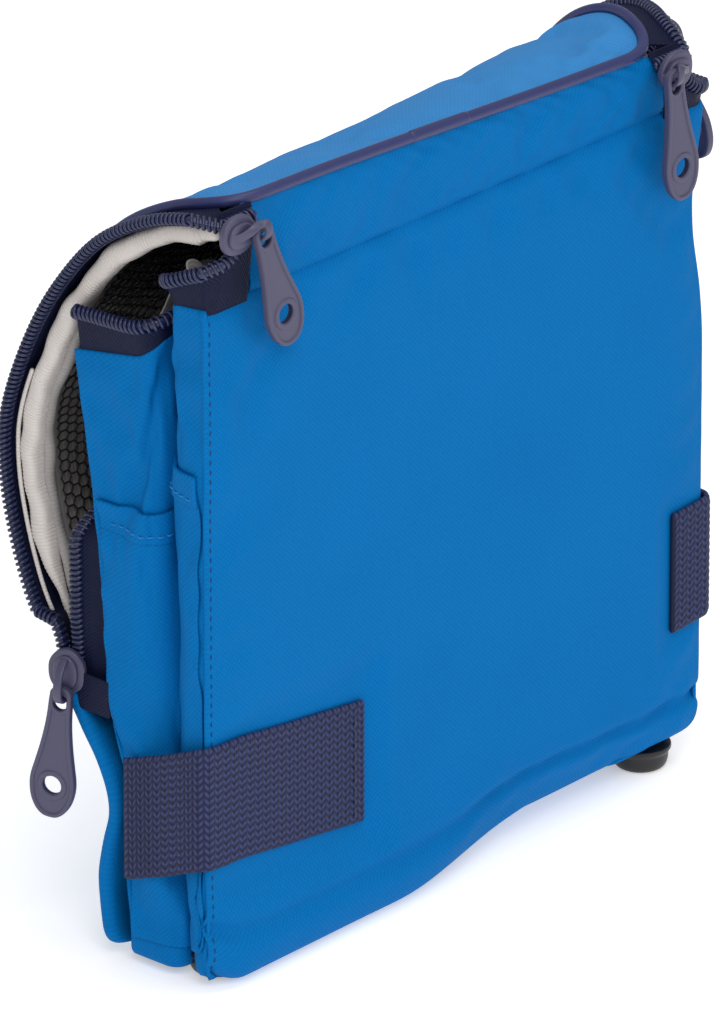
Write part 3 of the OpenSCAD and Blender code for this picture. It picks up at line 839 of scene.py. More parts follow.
def net_shape(half, first, last, depth, edge):
    """Honeycomb that follows the lid, as vertices and faces; net_piece() makes its wires."""
    length = (last - first) * LID_RUN
    cells = []
    for i in range(int(2 * half / (1.5 * edge))):
        for j in range(int(length / (math.sqrt(3) * edge))):
            cells.append((1.5 * edge * i, math.sqrt(3) * edge * (j + 0.5 * (i % 2))))
    turns = np.radians(np.arange(6) * 60)
    corners = np.array(cells)[:, None] + edge * np.stack([np.cos(turns), np.sin(turns)], 1)
    flat, found = np.unique(np.round(corners.reshape(-1, 2), 3), axis=0, return_inverse=True)
    share = first + flat[:, 1] / length * (last - first)
    slack = 0.8 * np.sin(flat[:, 0] * 0.09) * np.sin(flat[:, 1] * 0.12)
    points = lid_points(flat[:, 0] - half, share, depth + slack)
    return points, found.reshape(-1, 6).tolist(), flat


def net_piece(name, shape, wire):
    """Honeycomb with a real wire along every edge."""
    made = add_mesh(name, [shape], MATERIALS["mesh"])
    frame_modifier = made.modifiers.new("wires", "WIREFRAME")
    frame_modifier.thickness = wire * MM
    frame_modifier.use_even_offset = False
    shown = made.evaluated_get(bpy.context.evaluated_depsgraph_get())
    mesh = bpy.data.meshes.new_from_object(shown)
    made.modifiers.clear()
    made.data = mesh
    bend_between(made, LID_BLEND)
    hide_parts("mesh_pocket")
    return made


net = net_piece("mesh_pocket_net", net_shape(LID_X - 4, 0.29, 0.90, 7.8, 2.3), 0.74)


def share_walked(distance):
    return distance / FIRST_RUN


def piping_line():
    """Line of the cord sewn round the lid: up the left side, along the hinge and down the right side."""
    reach = LID_X + 1.9
    down = np.linspace(LID_FRONT + 0.004, share_walked(LID_CORNER), 120)
    turns = np.linspace(0, math.pi / 2, 14)[1:]
    corner_x = reach - LID_CORNER + LID_CORNER * np.cos(turns)
    corner_share = share_walked(LID_CORNER * (1 - np.sin(turns)))
    hinge_x = np.linspace(-60, 60, 30)
    x = np.concatenate([-reach + 0 * down, -corner_x, hinge_x, corner_x[::-1], reach + 0 * down])
    share = np.concatenate([down, corner_share, 0 * hinge_x, corner_share[::-1], down[::-1]])
    return resampled(lid_points(x, share, -0.7), 0.8)[0]


PIPING_R = 1.75
SLEEVE = (-22, 2)
piping = piping_line()
on_hinge = np.abs(piping[:, 0]) < 80
over_sleeve = on_hinge & (piping[:, 0] > SLEEVE[0]) & (piping[:, 0] < SLEEVE[1])
piece("lid_piping_cord", "piping", [
    tube_shape(piping, PIPING_R, across=(0.3, 0.9, 0.3), sides=16),
    tube_shape(piping[over_sleeve] + [0, -0.1, 0.15], PIPING_R + 0.16, across=(0.3, 0.9, 0.3), sides=18),
], bends=LID_BLEND, replaces=["lid_piping"])


def binding_shapes(side):
    """Off-white ribbed binding inside the lid's edge, with a thin cord of lining outside its lower half."""
    share = np.linspace(0.025 if side < 0 else 0.10, 0.97, 400)
    sway = 0.45 * np.sin(share * 43) + 0.3 * np.sin(share * 91 + 2)
    line = lid_points(side * (LID_X + 6.4), share, 6.1 + sway * 0.5)
    step = 0.3
    line = resampled(line, step)[0]
    walked = np.arange(len(line)) * step
    ribs = 0.09 * np.cos(walked * 2 * math.pi / 1.2)
    width = 3.5 + ribs + 0.35 * np.sin(walked * 0.21) + 0.2 * np.sin(walked * 0.47)
    height = 3.3 + ribs + 0.3 * np.sin(walked * 0.17 + 1)
    fade = np.clip(walked / 6, 0.7, 1) * np.clip((walked[-1] - walked) / 30, 0.4, 1)
    low = resampled(lid_points(side * (LID_X + 10.2), np.linspace(0.5, 0.97, 80), 3.3), 0.8)[0]
    return [
        tube_shape(line, width * fade, height * fade, across=(1, 0, 0), sides=24, boxiness=2.8),
        tube_shape(low, 0.65, across=(1, 0, 0), sides=8),
    ]


for side, label in ((-1, "left"), (1, "right")):
    padded_piece(f"{label}_lid_binding_tape", "binding", binding_shapes(side), 0.5, bends=LID_BLEND,
                 replaces=[f"{label}_lid_binding"])

# ---- Folded ends ----

CORNER_R = 5.6
CLEFT_W = 4.4
PLEAT_DEPTH = 35.0
END_ROLL = 4.0
NEAR_DEPTH = [[2, 8], [22, 9.5], [44, 12.8], [200, 16]]
# Depth of a folded end's front edge, height of its upper edge and how far the coil stands above that
ENDS = {
    "left": {
        "base": [[0, 7], [0.06, 4], [0.14, 2], [1, 2]],
        "front": [[8, 31], [30, 32.5], [53, 30], [76, 37.5], [92, 40], [127, 42.5], [153, 45.7], [165, 47.5],
                  [195, 52.5]],
        "top": [[0, 218], [0.08, 217], [0.15, 215], [0.45, 208], [0.76, 201.5], [0.85, 196], [1, 191.5]],
        "rise": [[0, 12.5], [0.08, 9], [0.15, 7], [0.45, 7], [0.76, 8], [0.85, 10.5], [1, 13]],
        "leg": [[84, 51.8], [125, 51.8], [160, 54], [185, 57]],
        "zip_z": 242.0,
        "corner_z": 232.5,
    },
    "right": {
        "base": [[0, 20], [0.1, 12], [0.3, 8.5], [1, 8.5]],
        "front": [[8, 31], [30, 32.5], [53, 30], [76, 38.5], [92, 40.5], [118, 44.5], [144, 48.5],
                  [170, 49.5], [194, 47], [210, 38.3]],
        "top": [[0, 216], [0.1, 215], [0.2, 214], [0.5, 214], [0.8, 220], [0.88, 225], [0.94, 220], [1, 211]],
        "rise": [[0, 6], [0.1, 6.5], [0.2, 7], [0.5, 8], [0.8, 9], [1, 10.3]],
        "leg": [[84, 50.2], [92, 50.7], [118, 54.7], [144, 58.7], [170, 59.7], [194, 57.2], [206, 51]],
        "zip_z": 234.5,
        "corner_z": 223.5,
    },
}
COIL_PAIR = COIL_R + 0.2


def look_up(table, place):
    """Value of a [place, value] table, straight between its rows."""
    table = np.array(table, float)
    return np.interp(place, table[:, 0], table[:, 1])


def fold_plan():
    """Plan of a folded end, back to front: [x, fixed depth, share of near depth, share of front depth]."""
    tip = CLEFT_W / 2
    corner_x = -EDGE_X + CORNER_R

    def bow(x, depth, radius, start, end):
        turns = np.radians(np.linspace(start, end, 16))
        return [[x + radius * math.cos(t), depth + radius * math.sin(t), 1, 0] for t in turns]

    rows = [[-EDGE_X, 0.9, 0, 0]]
    rows += bow(corner_x, -CORNER_R, CORNER_R, 180, 90)
    rows += bow(-EDGE_X + PLEAT_DEPTH - tip, tip, tip, -90, 90)
    rows += bow(corner_x, CLEFT_W + CORNER_R, CORNER_R, -90, -180)
    rows += [[-EDGE_X, 0, 0, 1]]
    rows = np.array(rows)
    depth = rows @ [0, 1, 14.2, 41]
    walked = np.concatenate([[0], np.cumsum(np.hypot(np.diff(rows[:, 0]), np.diff(depth)))])
    even = np.linspace(0, walked[-1], 240)
    return np.stack([np.interp(even, walked, rows[:, k]) for k in range(4)], 1)


PLAN = fold_plan()
PLAN_SHARES = np.linspace(0, 1, len(PLAN))


def end_points(end, z, b, inward=0.0):
    """Points of a folded left end at height z and share b of its plan, moved inwards from its skin."""
    near, front = look_up(NEAR_DEPTH, z), look_up(ENDS[end]["front"], z)

    def at(share):
        row = [np.interp(np.clip(share, 0, 1), PLAN_SHARES, PLAN[:, k]) for k in range(4)]
        return np.stack([row[0], row[1] + row[2] * near + row[3] * front], -1)

    here, step = at(b), 0.012
    lean = unit(at(b + step) - at(b - step))
    inward = np.asarray(inward, float)
    drawn_in = 0 if end == "left" else waist(z) * (1 - smooth(np.clip(b / 0.3, 0, 1)))
    x = here[..., 0] + inward * lean[..., 1] + drawn_in
    return np.stack([x, here[..., 1] - inward * lean[..., 0], z + 0 * b], -1)


def dent(z, b, at_z, at_b, size_z, size_b, depth):
    """Depth of a soft dent in a folded end, or of a bulge if depth is negative."""
    return depth * np.exp(-(((z - at_z) / size_z) ** 2) - (((b - at_b) / size_b) ** 2))


def end_surface(end):
    def surface(a, b):
        base = look_up(ENDS[end]["base"], b)
        z = base + (look_up(ENDS[end]["top"], b) - base) * a
        tucked = corner_cut(z - base, END_ROLL) * smooth(np.clip(b / 0.09, 0, 1))
        slack = dent(z, b + (z - 165) * 0.0022, 165, 0.83, 26, 0.035, 2.4)
        slack += dent(z, b, 78, 0.80, 9, 0.05, 1.8) + dent(z, b, 32, 0.86, 10, 0.05, -1.5)
        slack += dent(z, b, 110, 0.07, 30, 0.03, -0.8)
        return end_points(end, z, b, tucked + slack)
    return surface


def row_band(grid, low, high, rows, lift):
    """Part of a grid between two fractions of its rows, given by column, lifted off its surface."""
    last = grid.shape[0] - 1
    lifted = grid + grid_normals(grid) * lift
    places = (low + (high - low) * np.linspace(0, 1, rows)[:, None]) * last
    first = np.minimum(np.floor(places).astype(int), last - 1)
    s = (places - first)[..., None]
    cols = np.arange(grid.shape[1])
    return lifted[first, cols] * (1 - s) + lifted[first + 1, cols] * s


POCKET_BACK, POCKET_FRONT = 167.0, 148.5
END_SHARES = np.linspace(0, 1, 230)
# Columns of the simulated grid at the pleat's inner fold, which stay put
PLEAT_COLS = (22, 23, 24)


def facing(grid, end):
    """A grid drawn for the left end, as it is on either end."""
    return grid if end == "left" else mirrored(grid)


def pocket_top(end):
    """Share of the end's height at which its pocket ends, by column."""
    hem = POCKET_BACK - 1 + (POCKET_FRONT - POCKET_BACK) * smooth(np.clip((END_SHARES - 0.2) / 0.6, 0, 1))
    base = look_up(ENDS[end]["base"], END_SHARES)
    return (hem - base) / (look_up(ENDS[end]["top"], END_SHARES) - base)


def make_end(end):
    """The padded end, its pocket with a hem and stitches, and its lining."""
    grid = padded_grid(end_surface(end), (27, 49), (150, len(END_SHARES)), 1.5, held_cols=PLEAT_COLS)
    gusset = padded_piece(f"{end}_gusset_padded", "bag_fabric", [sheet_shape(facing(grid, end), SKIN)], 0.5,
                          bends=PLEAT_BLEND, replaces=[f"{end}_gusset", f"{end}_gusset_foam"])
    hem = pocket_top(end)
    pocket_grid = row_band(grid, 0.045, hem, 90, 1.0)[:, 5:-5]
    band_grid = row_band(grid, hem - 0.045, hem, 10, 1.55)[:, 5:-5]
    pocket = piece(f"{end}_side_pocket_sheet", "bag_fabric", [
        sheet_shape(facing(pocket_grid, end), 0.7), sheet_shape(facing(band_grid, end), 0.9),
    ], bends=PLEAT_BLEND, replaces=[f"{end}_side_pocket"])
    declare_sheet(np.concatenate([pocket_grid, band_grid[:3]]))
    stitch_line = row_band(grid, hem - 0.034, hem - 0.034, 2, 1.7)[0, 8:-8]
    away = facing(grid_normals(grid)[60, 8:-8][None], end)[0]
    seam(f"{end}_pocket_seam", "bag_fabric", [(facing(stitch_line[None], end)[0], away)], THREAD_BLUE,
         bends=PLEAT_BLEND, radius=0.26)
    lining_b, lining_a = np.meshgrid(np.linspace(0.03, 0.97, 150), np.linspace(0, 1, 40))
    tops = look_up(ENDS[end]["top"], lining_b) + 6.5 + 1.2 * np.sin(lining_b * 40)
    tops += 8 * np.exp(-(((lining_b - 0.16) / 0.09) ** 2)) + 9 * np.exp(-(((lining_b - 0.60) / 0.1) ** 2))
    lows = np.maximum(look_up(ENDS[end]["base"], lining_b), FOOT_H) + 4
    lining_z = lows + (tops - lows) * lining_a
    lining = end_points(end, lining_z, lining_b, 3.9 + 0.3 * np.sin(lining_b * 60 + lining_z * 0.2))
    cloth_piece(f"{end}_gusset_lining_sheet", "lining", facing(lining, end), 0.6, "folded", [gusset],
                bends=PLEAT_BLEND, replaces=[f"{end}_gusset_lining"])


for end in ENDS:
    make_end(end)

# ---- Zippers: each track is the line of its coil and the line of cloth that its tape is sewn to ----

COIL_PITCH = 1.75
COIL_HALF = 1.9
COIL_WIRE = 0.56


def on_side(points, end):
    """A line drawn for the left end, as it is on either end."""
    points = np.array(points, float)
    return points if end == "left" else points * [-1, 1, 1]


def body_track(end):
    """The zipper on the body: beside the hinge strip, along the end's upper edge and down its front."""
    facts = ENDS[end]
    x = np.linspace(-EDGE_X + 18, -EDGE_X + 5, 8)
    level = facts["zip_z"] - COIL_PAIR
    droop = smooth(np.clip((-x - 92) / 14, 0, 1)) * (level - facts["corner_z"])
    coil = [np.stack([x, np.full(8, COIL_Y), level - droop], 1)]
    cloth = [np.stack([np.clip(x, -EDGE_X, -88.5), np.full(8, 0.4), np.full(8, CREASE_Z - 1.5)], 1)]
    b = np.linspace(0.0, 0.99, 70)
    top = look_up(facts["top"], b)
    flare = -0.6 - 1.6 * np.exp(-(((b - 0.11) / 0.07) ** 2)) - 1.0 * np.exp(-(((b - 0.85) / 0.08) ** 2))
    coil.append(end_points(end, top + look_up(facts["rise"], b), b, flare))
    cloth.append(end_points(end, top - 1.5, b, 0.9))
    corner = facts["top"][-1][1]
    z = np.linspace(corner - 1, 84, 36)
    leg = look_up(facts["leg"], z)
    lead = 0.7 * np.clip((106 - z) / 6, 0, 1) if end == "left" else 0 * z
    if end == "left":
        tuck = smooth(np.clip((z - 130) / 20, 0, 1))
        lead = lead + 20 * tuck
        leg = leg + (look_up(facts["front"], z) + 3.5 - leg) * tuck
    coil.append(np.stack([-COIL_X + lead, leg, z], 1))
    cloth.append(np.stack([np.full(36, -EDGE_X + 2.4), look_up(facts["front"], z) - 1.2, z], 1))
    return on_side(np.concatenate(coil), end), on_side(np.concatenate(cloth), end)


def lid_track(end):
    """The zipper on the lid: beside the hinge strip, round the lid's corner and down its side."""
    first, second = (18, 5) if end == "left" else (25, 12)
    x = np.linspace(-EDGE_X + first, -EDGE_X + second, 8)
    side = -1 if end == "left" else 1
    level = ENDS[end]["zip_z"] + COIL_PAIR
    coil = [np.stack([x, np.full(8, COIL_Y), np.full(8, level)], 1)]
    cloth = [np.stack([x + 1, np.full(8, -0.2), lid_points(-side * x, 0.0)[..., 2] - 0.4], 1)]
    last = 0.92 if end == "left" else 0.985
    share = np.linspace(0.04, last, 90)
    line = lid_points(side * COIL_X, share, 0.6)
    edge = lid_points(side * (LID_X + 1.0), share, 0.5)
    coil.append(on_side(line, end))
    cloth.append(on_side(edge, end))
    if end == "left":
        low = np.array([[0.3, 60, 103], [0.6, 57.4, 98], [0.7, 56.4, 92], [0.7, 56.1, 84]])
        coil.append(low * [-1, 1, 1] - [COIL_X, 0, 0])
        cloth.append(low * [0, 1, 1] + [-EDGE_X + 5, 1.5, 0])
    return on_side(np.concatenate(coil), end), on_side(np.concatenate(cloth), end)


def add_zipper(end, part, track, bends):
    """Tape and wound coil along a track."""
    coil, cloth = resampled(track[0], 1.0, [track[1]])
    towards = unit(cloth - coil)
    inner_edge = coil + towards * 0.4
    share = np.linspace(0, 1, 9)[None, :, None]
    tape = inner_edge[:, None] * (1 - share) + cloth[:, None] * share
    away = np.cross(np.gradient(tape, axis=0), np.gradient(tape, axis=1))
    centre = np.array([0, 25, 150])
    if np.sum(away * (tape - centre)) < 0:
        tape = tape[:, ::-1]
    cloth_piece(f"{end}_{part}_tape_woven", "zip_tape", tape, 0.7, "stretched", [f"{end}_{part}_coil"],
                bends=bends, replaces=[f"{end}_{part}_tape"])
    core = tube_shape(coil, 1.5, 1.05, across=towards, sides=8)
    helix = helix_shape(coil, towards, COIL_HALF, 1.45, COIL_PITCH, COIL_WIRE)
    piece(f"{end}_{part}_coil_wound", "zip_coil", [helix, core], bends=bends, replaces=[f"{end}_{part}_coil"])


for end in ENDS:
    add_zipper(end, "body", body_track(end), PLEAT_BLEND)
    add_zipper(end, "lid", lid_track(end), LID_BLEND)


def flat_grid(corner, across, down, rows, cols):
    """Flat grid from a corner: rows run down and columns across."""
    i, j = np.meshgrid(np.linspace(0, 1, rows), np.linspace(0, 1, cols), indexing="ij")
    return np.array(corner, float) + i[..., None] * np.array(down) + j[..., None] * np.array(across)


for end in ENDS:
    grid = flat_grid((-EDGE_X - 2.3, 49.5, 90), (0, -12, 0), (0, 0, -11), 30, 30)
    cloth_piece(f"{end}_zip_patch_woven", "zip_tape", facing(grid, end), 0.8, "stretched",
                [f"{end}_gusset_padded"], body="front_shell", replaces=[f"{end}_zip_patch"])

# ---- Front, linings and base ----


def front_curve(share):
    return along(FRONT_PROFILE, share)


def front_surface(a, b):
    share = 0.01 + 0.985 * b
    half = EDGE_X + 1.0 - corner_cut((1 - b) * 85, 9)
    y, z = offset_profile(front_curve, share, 0.0)
    x = (2 * a - 1) * half
    z = z - 8 * smooth(np.clip((-x - 55) / 45, 0, 1)) * smooth(np.clip((b - 0.55) / 0.45, 0, 1))
    return np.stack([x, y, z], -1)


front_grid = padded_grid(front_surface, (31, 17), (150, 80), 2.5)
front_panel = padded_piece("front_panel_padded", "bag_fabric", [sheet_shape(front_grid, 4.6)], 0.5,
                           body="front_shell", replaces=["front_panel", "front_foam"])
seam("front_panel_seam", "bag_fabric", [grid_line(front_grid, col=3), grid_line(front_grid, col=-4)],
     THREAD_BLUE, body="front_shell", radius=0.24)

y, z = offset_profile(front_curve, 0.05 + 0.88 * b_grid, 5.2 + 0.3 * np.sin(a_grid * 40 + b_grid * 9))
front_lining_grid = np.stack([(2 * a_grid - 1) * (EDGE_X - 6), y, z], -1)
cloth_piece("front_lining_sheet", "lining", front_lining_grid, 0.6, "stretched", [front_panel],
            body="front_shell", replaces=["front_lining"])

back_lining_grid = flat_grid((-EDGE_X + 5, 5.4, CREASE_Z - 2), (2 * EDGE_X - 10, 0, 0),
                             (0, 0, FOOT_H + 24 - CREASE_Z), 60, 60)
lining_x, _, lining_z = np.moveaxis(back_lining_grid, -1, 0)
lining_x -= waist(lining_z) * np.clip(lining_x / EDGE_X, 0, 1)
back_lining_grid[..., 1] += 0.25 * np.sin(lining_x * 0.12) * np.sin(lining_z * 0.1)
cloth_piece("back_lining_sheet", "lining", back_lining_grid, 0.6, "stretched", [back_panel],
            replaces=["back_lining"])

STRIP_SPLIT = 20.5


def base_strip(name, body, near, far):
    """Half of the bag's bottom, slightly wavy along the bag's width."""
    grid = flat_grid((-EDGE_X + 8, near, FOOT_H + 0.2), (0, far - near, 0), (2 * EDGE_X - 16, 0, 0), 120, 24)
    grid[..., 2] += 0.12 * np.sin(grid[..., 0] * 0.11)
    cloth_piece(f"{name}_sheet", "bag_fabric", grid[:, ::-1], SKIN - 0.2, "stretched",
                [f"{name.split('_')[0]}_feet"], body=body, replaces=[name])


base_strip("back_base_strip", "back_shell", 5.6, STRIP_SPLIT - 0.15)
base_strip("front_base_strip", "front_shell", STRIP_SPLIT + 0.15, 40.0)


def floor_fold(depth, half, top):
    """The bag's floor, folded up between the two pleats."""
    turns = np.linspace(math.pi, 0, 12)
    ridge = [[STRIP_SPLIT + (1.1 + depth) * math.cos(t), top + (1.1 + depth) * math.sin(t)] for t in turns]
    low = FOOT_H + 1.6
    profile = np.array([[STRIP_SPLIT - 1.2 - depth, low], [STRIP_SPLIT - 1.15 - depth, 30]] + ridge
                       + [[STRIP_SPLIT + 1.15 + depth, 30], [STRIP_SPLIT + 1.2 + depth, low]])
    x = np.linspace(-half, half, 60)
    grid = np.zeros((len(x), len(profile), 3))
    grid[..., 0] = x[:, None]
    grid[..., 1:] = profile[None]
    return grid


fold_half = EDGE_X - PLEAT_DEPTH - 12
for name, slot, depth in (("base_fold", "bag_fabric", 0.0), ("base_lining", "lining", 1.3)):
    fold_grid = floor_fold(depth, fold_half, 59.5)
    cloth_piece(f"{name}_sheet", slot, fold_grid, 0.7, "folded",
                ["back_base_strip_sheet", "front_base_strip_sheet"], bends=BASE_BLEND, replaces=[name])

# ---- Feet ----


def foot_shape(x, y):
    """Domed rubber foot with a flange against the bag."""
    profile = [[0.02, 0.0], [3.5, 0.0], [6.2, 0.15], [7.6, 0.8], [8.3, 2.0], [8.6, 3.6], [8.7, 5.2],
               [9.1, 6.0], [9.5, 6.6], [9.5, 7.4], [9.2, 7.9], [8.0, 8.0], [0.02, 8.0]]
    curve = along(profile, np.linspace(0, 1, 60))
    line = np.stack([np.full(60, x), np.full(60, y), np.linspace(0, FOOT_H, 60)], 1)
    points, faces, weave = tube_shape(line, 1.0, across=(1, 0, 0), sides=48, caps=False)
    points = points.reshape(60, 48, 3)
    points[..., :2] = [x, y] + (points[..., :2] - [x, y]) * np.maximum(curve[:, :1, None], 0.01)
    points[..., 2] = np.clip(curve[:, 1:], 0, FOOT_H)
    return points.reshape(-1, 3), faces, weave


for name, body, y in (("back_feet", "back_shell", 10.2), ("front_feet", "front_shell", 30.6)):
    feet = [foot_shape(side * (EDGE_X - 15), y) for side in (-1, 1)]
    piece(f"{name}_moulded", "foot_rubber", feet, body=body, replaces=[name])

# ---- Sliders and pulls ----

EYE_SIDE = 5.5
EYE_RISE = 1.5
EYE_DROP = 5.0
PLATE_Y = 3.3
PULL_LENGTH = 43.0
PULL_TOP = 1.2
HOLE_R = 3.0


def plate_shape(loops, half_thickness, bevel):
    """Flat plate with holes and rounded edges, from outlines in its own plane: [x, z]; y is its thickness."""
    curve = bpy.data.curves.new("plate", "CURVE")
    curve.dimensions = "2D"
    curve.fill_mode = "BOTH"
    curve.extrude = half_thickness - bevel
    curve.bevel_depth = bevel
    curve.bevel_resolution = 3
    curve.offset = -bevel
    for loop in loops:
        spline = curve.splines.new("POLY")
        spline.points.add(len(loop) - 1)
        flat = np.concatenate([loop, np.zeros((len(loop), 1)), np.ones((len(loop), 1))], 1)
        spline.points.foreach_set("co", flat.ravel())
        spline.use_cyclic_u = True
    holder = bpy.data.objects.new("plate", curve)
    bpy.context.scene.collection.objects.link(holder)
    mesh = bpy.data.meshes.new_from_object(holder.evaluated_get(bpy.context.evaluated_depsgraph_get()))
    points = np.array([vertex.co for vertex in mesh.vertices])[:, [0, 2, 1]]
    merged_points, found = np.unique(np.round(points, 4), axis=0, return_inverse=True)
    found = found.ravel()
    faces = []
    for polygon in mesh.polygons:
        corners = [int(found[k]) for k in polygon.vertices][::-1]
        corners = [k for n, k in enumerate(corners) if k != corners[n - 1]]
        if len(set(corners)) > 2:
            faces.append(corners)
    bpy.data.objects.remove(holder)
    bpy.data.curves.remove(curve)
    bpy.data.meshes.remove(mesh)
    return merged_points, faces, merged_points[:, [0, 2]]


def ring(x, z, radius, count=40):
    turns = np.linspace(0, 2 * math.pi, count, endpoint=False)
    return np.stack([x + radius * np.cos(turns), z + radius * np.sin(turns)], 1)


def pull_outline(inset=0.0):
    """Teardrop outline of a pull, drawn in by an inset."""
    half = [[0, 0], [2, 0.7], [3.3, 2.4], [3.6, 5], [3.75, 9], [4.2, 14], [5.1, 20], [6.3, 26],
            [7.1, 30], [7.2, 33.5], [6.4, 37.5], [4.7, 40.7], [2.4, 42.6], [0, 43]]
    side = along(half, np.linspace(0, 1, 90))
    loop = np.concatenate([side[:-1], side[:0:-1] * [-1, 1], side[:1]])
    loop = np.concatenate([loop, np.zeros((len(loop), 1))], 1)
    outline = resampled(loop, 0.9)[0][:-1, :2]
    outline[:, 1] = PULL_TOP - outline[:, 1]
    tangent = unit(np.roll(outline, -1, axis=0) - np.roll(outline, 1, axis=0))
    return outline + np.stack([tangent[:, 1], -tangent[:, 0]], 1) * inset


def slot_outline(grow=0.0):
    """Outline of the slot that a pull hangs by, made larger by grow."""
    half, top, bottom = 2.2 + grow, -1.2 + grow, -6.4 - grow
    turns = np.radians(np.linspace(0, 180, 12))
    upper = np.stack([half * np.cos(turns), top - 1.2 + (1.2 + grow) * np.sin(turns)], 1)
    lower = np.stack([-half * np.cos(turns), bottom + half - half * np.sin(turns)], 1)
    return np.concatenate([upper, lower])


HOLE_Z = PULL_TOP - PULL_LENGTH + 7.25 + 3.3


def pull_shapes():
    """Moulded pull: recessed face, raised rim, and raised rings round its eye and its hole."""
    rim_in = pull_outline(1.5)
    return [
        plate_shape([pull_outline(0.25), slot_outline()[::-1], ring(0, HOLE_Z, HOLE_R)[::-1]], 0.85, 0.3),
        plate_shape([pull_outline(), rim_in[::-1]], 1.25, 0.55),
        plate_shape([ring(0, HOLE_Z, 4.9), ring(0, HOLE_Z, HOLE_R)[::-1]], 1.2, 0.5),
        plate_shape([slot_outline(1.25), slot_outline()[::-1]], 1.2, 0.45),
    ]


def body_outline(half_length, half_width, taper):
    """Rounded outline of a slider's body, narrower towards one end."""
    turns = np.linspace(0, 2 * math.pi, 72, endpoint=False)
    cos, sin = np.cos(turns), np.sin(turns)
    length = half_length * np.sign(cos) * np.abs(cos) ** 0.8
    width = half_width * np.sign(sin) * np.abs(sin) ** 0.85 * (1 - taper * np.clip(cos, 0, 1) ** 2)
    return np.stack([length, width], 1)


def moved(shape, x=0.0, y=0.0, z=0.0, swap=False):
    points, faces, weave = shape
    if swap:
        points = points[:, [2, 1, 0]]
        faces = [face[::-1] for face in faces]
    return points + [x, y, z], faces, weave


def turned(shape):
    """The same shape seen in a mirror, with its faces still outward."""
    points, faces, weave = shape
    return points * [-1, 1, 1], [face[::-1] for face in faces], weave


def slider_shapes(across, side=-1):
    """Slider: domed body over the coils and a bridge that holds the pull."""
    front = plate_shape([body_outline(7.0, 6.0, 0.32)], 1.15, 0.7)
    crown = plate_shape([body_outline(5.2, 3.9, 0.3)], 0.85, 0.6)
    stack = [(front, 0.7), (crown, -0.75)]
    if across:
        if side > 0:
            stack = [(turned(shape), y) for shape, y in stack]
        parts = [moved(shape, side * EYE_SIDE, PLATE_Y + y, -EYE_RISE) for shape, y in stack]
        line = [(1.75, 2.7, -1.5), (1.4, 1.3, -1.3), (0.9, 0.1, -0.2), (0.45, -1.3, 1.8),
                (0.12, -2.6, 2.3), (0, -3.15, 0.8), (0, -2.9, -1.2), (0, -1.4, -2.95),
                (0, 0.6, -3.2), (0, 2.4, -2.0), (0, 3.7, -0.4)]
        line = np.array(line) * [side * EYE_SIDE, 1, 1]
        hints = [(0, 0, 1), (0, 0, 1), (0.2, 0, 1), (0.7, 0, 0.7), (1, 0, 0.2)] + [(1, 0, 0)] * 6
        hints = np.array(hints, float) * [-side, 1, 1]
    else:
        parts = [moved(shape, 0, PLATE_Y + y, EYE_DROP, swap=True) for shape, y in stack]
        line = np.array([(0, 2.9, 9.5), (0, 0.8, 8.6), (0, -1.8, 6.2), (0, -3.1, 3), (0, -3.3, 0),
                         (0, -2.4, -2.3), (0, -0.4, -3.2), (0, 1.8, -2.6), (0, 3.6, -0.6)], float)
        hints = np.array([(1, 0, 0)] * len(line), float)
    share = np.linspace(0, 1, 60)
    band = tube_shape(along(line, share), 1.3, 0.6, across=along(hints, share), sides=16, boxiness=4)
    return parts + [band]


def hung(shapes, hinge, lean):
    """Shapes of a pull's own frame, placed at its hinge in the bag's millimetres."""
    axis = np.array(hinge["axis"], float)
    local_x = -axis if lean else unit(-axis * [1, 1, 0])
    inward = unit(np.cross([0, 0, 1], local_x))
    basis = np.stack([local_x, inward, np.cross(local_x, inward)])
    place = np.array(hinge["pos_m"]) / MM - [0, DEPTH_ZERO / MM, 0]
    return [(points @ basis + place, faces, weave) for points, faces, weave in shapes]


def sloped(shapes, degrees):
    """Shapes turned in the pull's own plane."""
    c, s = math.cos(math.radians(degrees)), math.sin(math.radians(degrees))
    turn = np.array([[c, 0, -s], [0, 1, 0], [s, 0, c]])
    return [(points @ turn, faces, weave) for points, faces, weave in shapes]


END_SLOPE = 9
SWING = "_pull_swing"
SWINGS = [joint for joint in frame["joints"] if joint["name"].endswith(SWING)]
HINGES = {joint["name"].replace(SWING, ""): joint for joint in SWINGS}
SLIDERS = {
    "left_top": slider_shapes(True, -1),
    "left_low": slider_shapes(False),
    "right_top": slider_shapes(True, 1),
    "right_end": sloped(slider_shapes(True, -1), END_SLOPE),
}
for place, shapes in SLIDERS.items():
    for name, slot, parts, lean in (
        (f"{place}_slider", "slider", shapes, False),
        (f"{place}_pull", "pull_rubber", pull_shapes(), True),
    ):
        made = piece(f"{name}_moulded", slot, hung(parts, HINGES[place], lean), body=name, replaces=[name])
        made.data.set_sharp_from_angle(angle=math.radians(45))

# ---- Straps ----

WEBBING_W = 38.0
WEBBING_T = 1.6
# Spacing of the points along a strap, fine enough for its loops
STRAP_STEP = 0.29
STRAP_LINES = {
    "left": {
        "end_x": 44.4,
        "middle": 54.0,
        "tilt": [[0, -5], [0.07, -2.2], [0.14, 0.3], [0.21, 3.4], [0.3, 7.3],
                 [0.37, 6.6], [0.48, 6.2], [0.67, 3.5], [1, -0.3]],
    },
    "right": {
        "end_x": 96.0,
        "middle": 67.0,
        "tilt": [[0, -1.5], [0.5, 1.5], [1, 0]],
    },
}


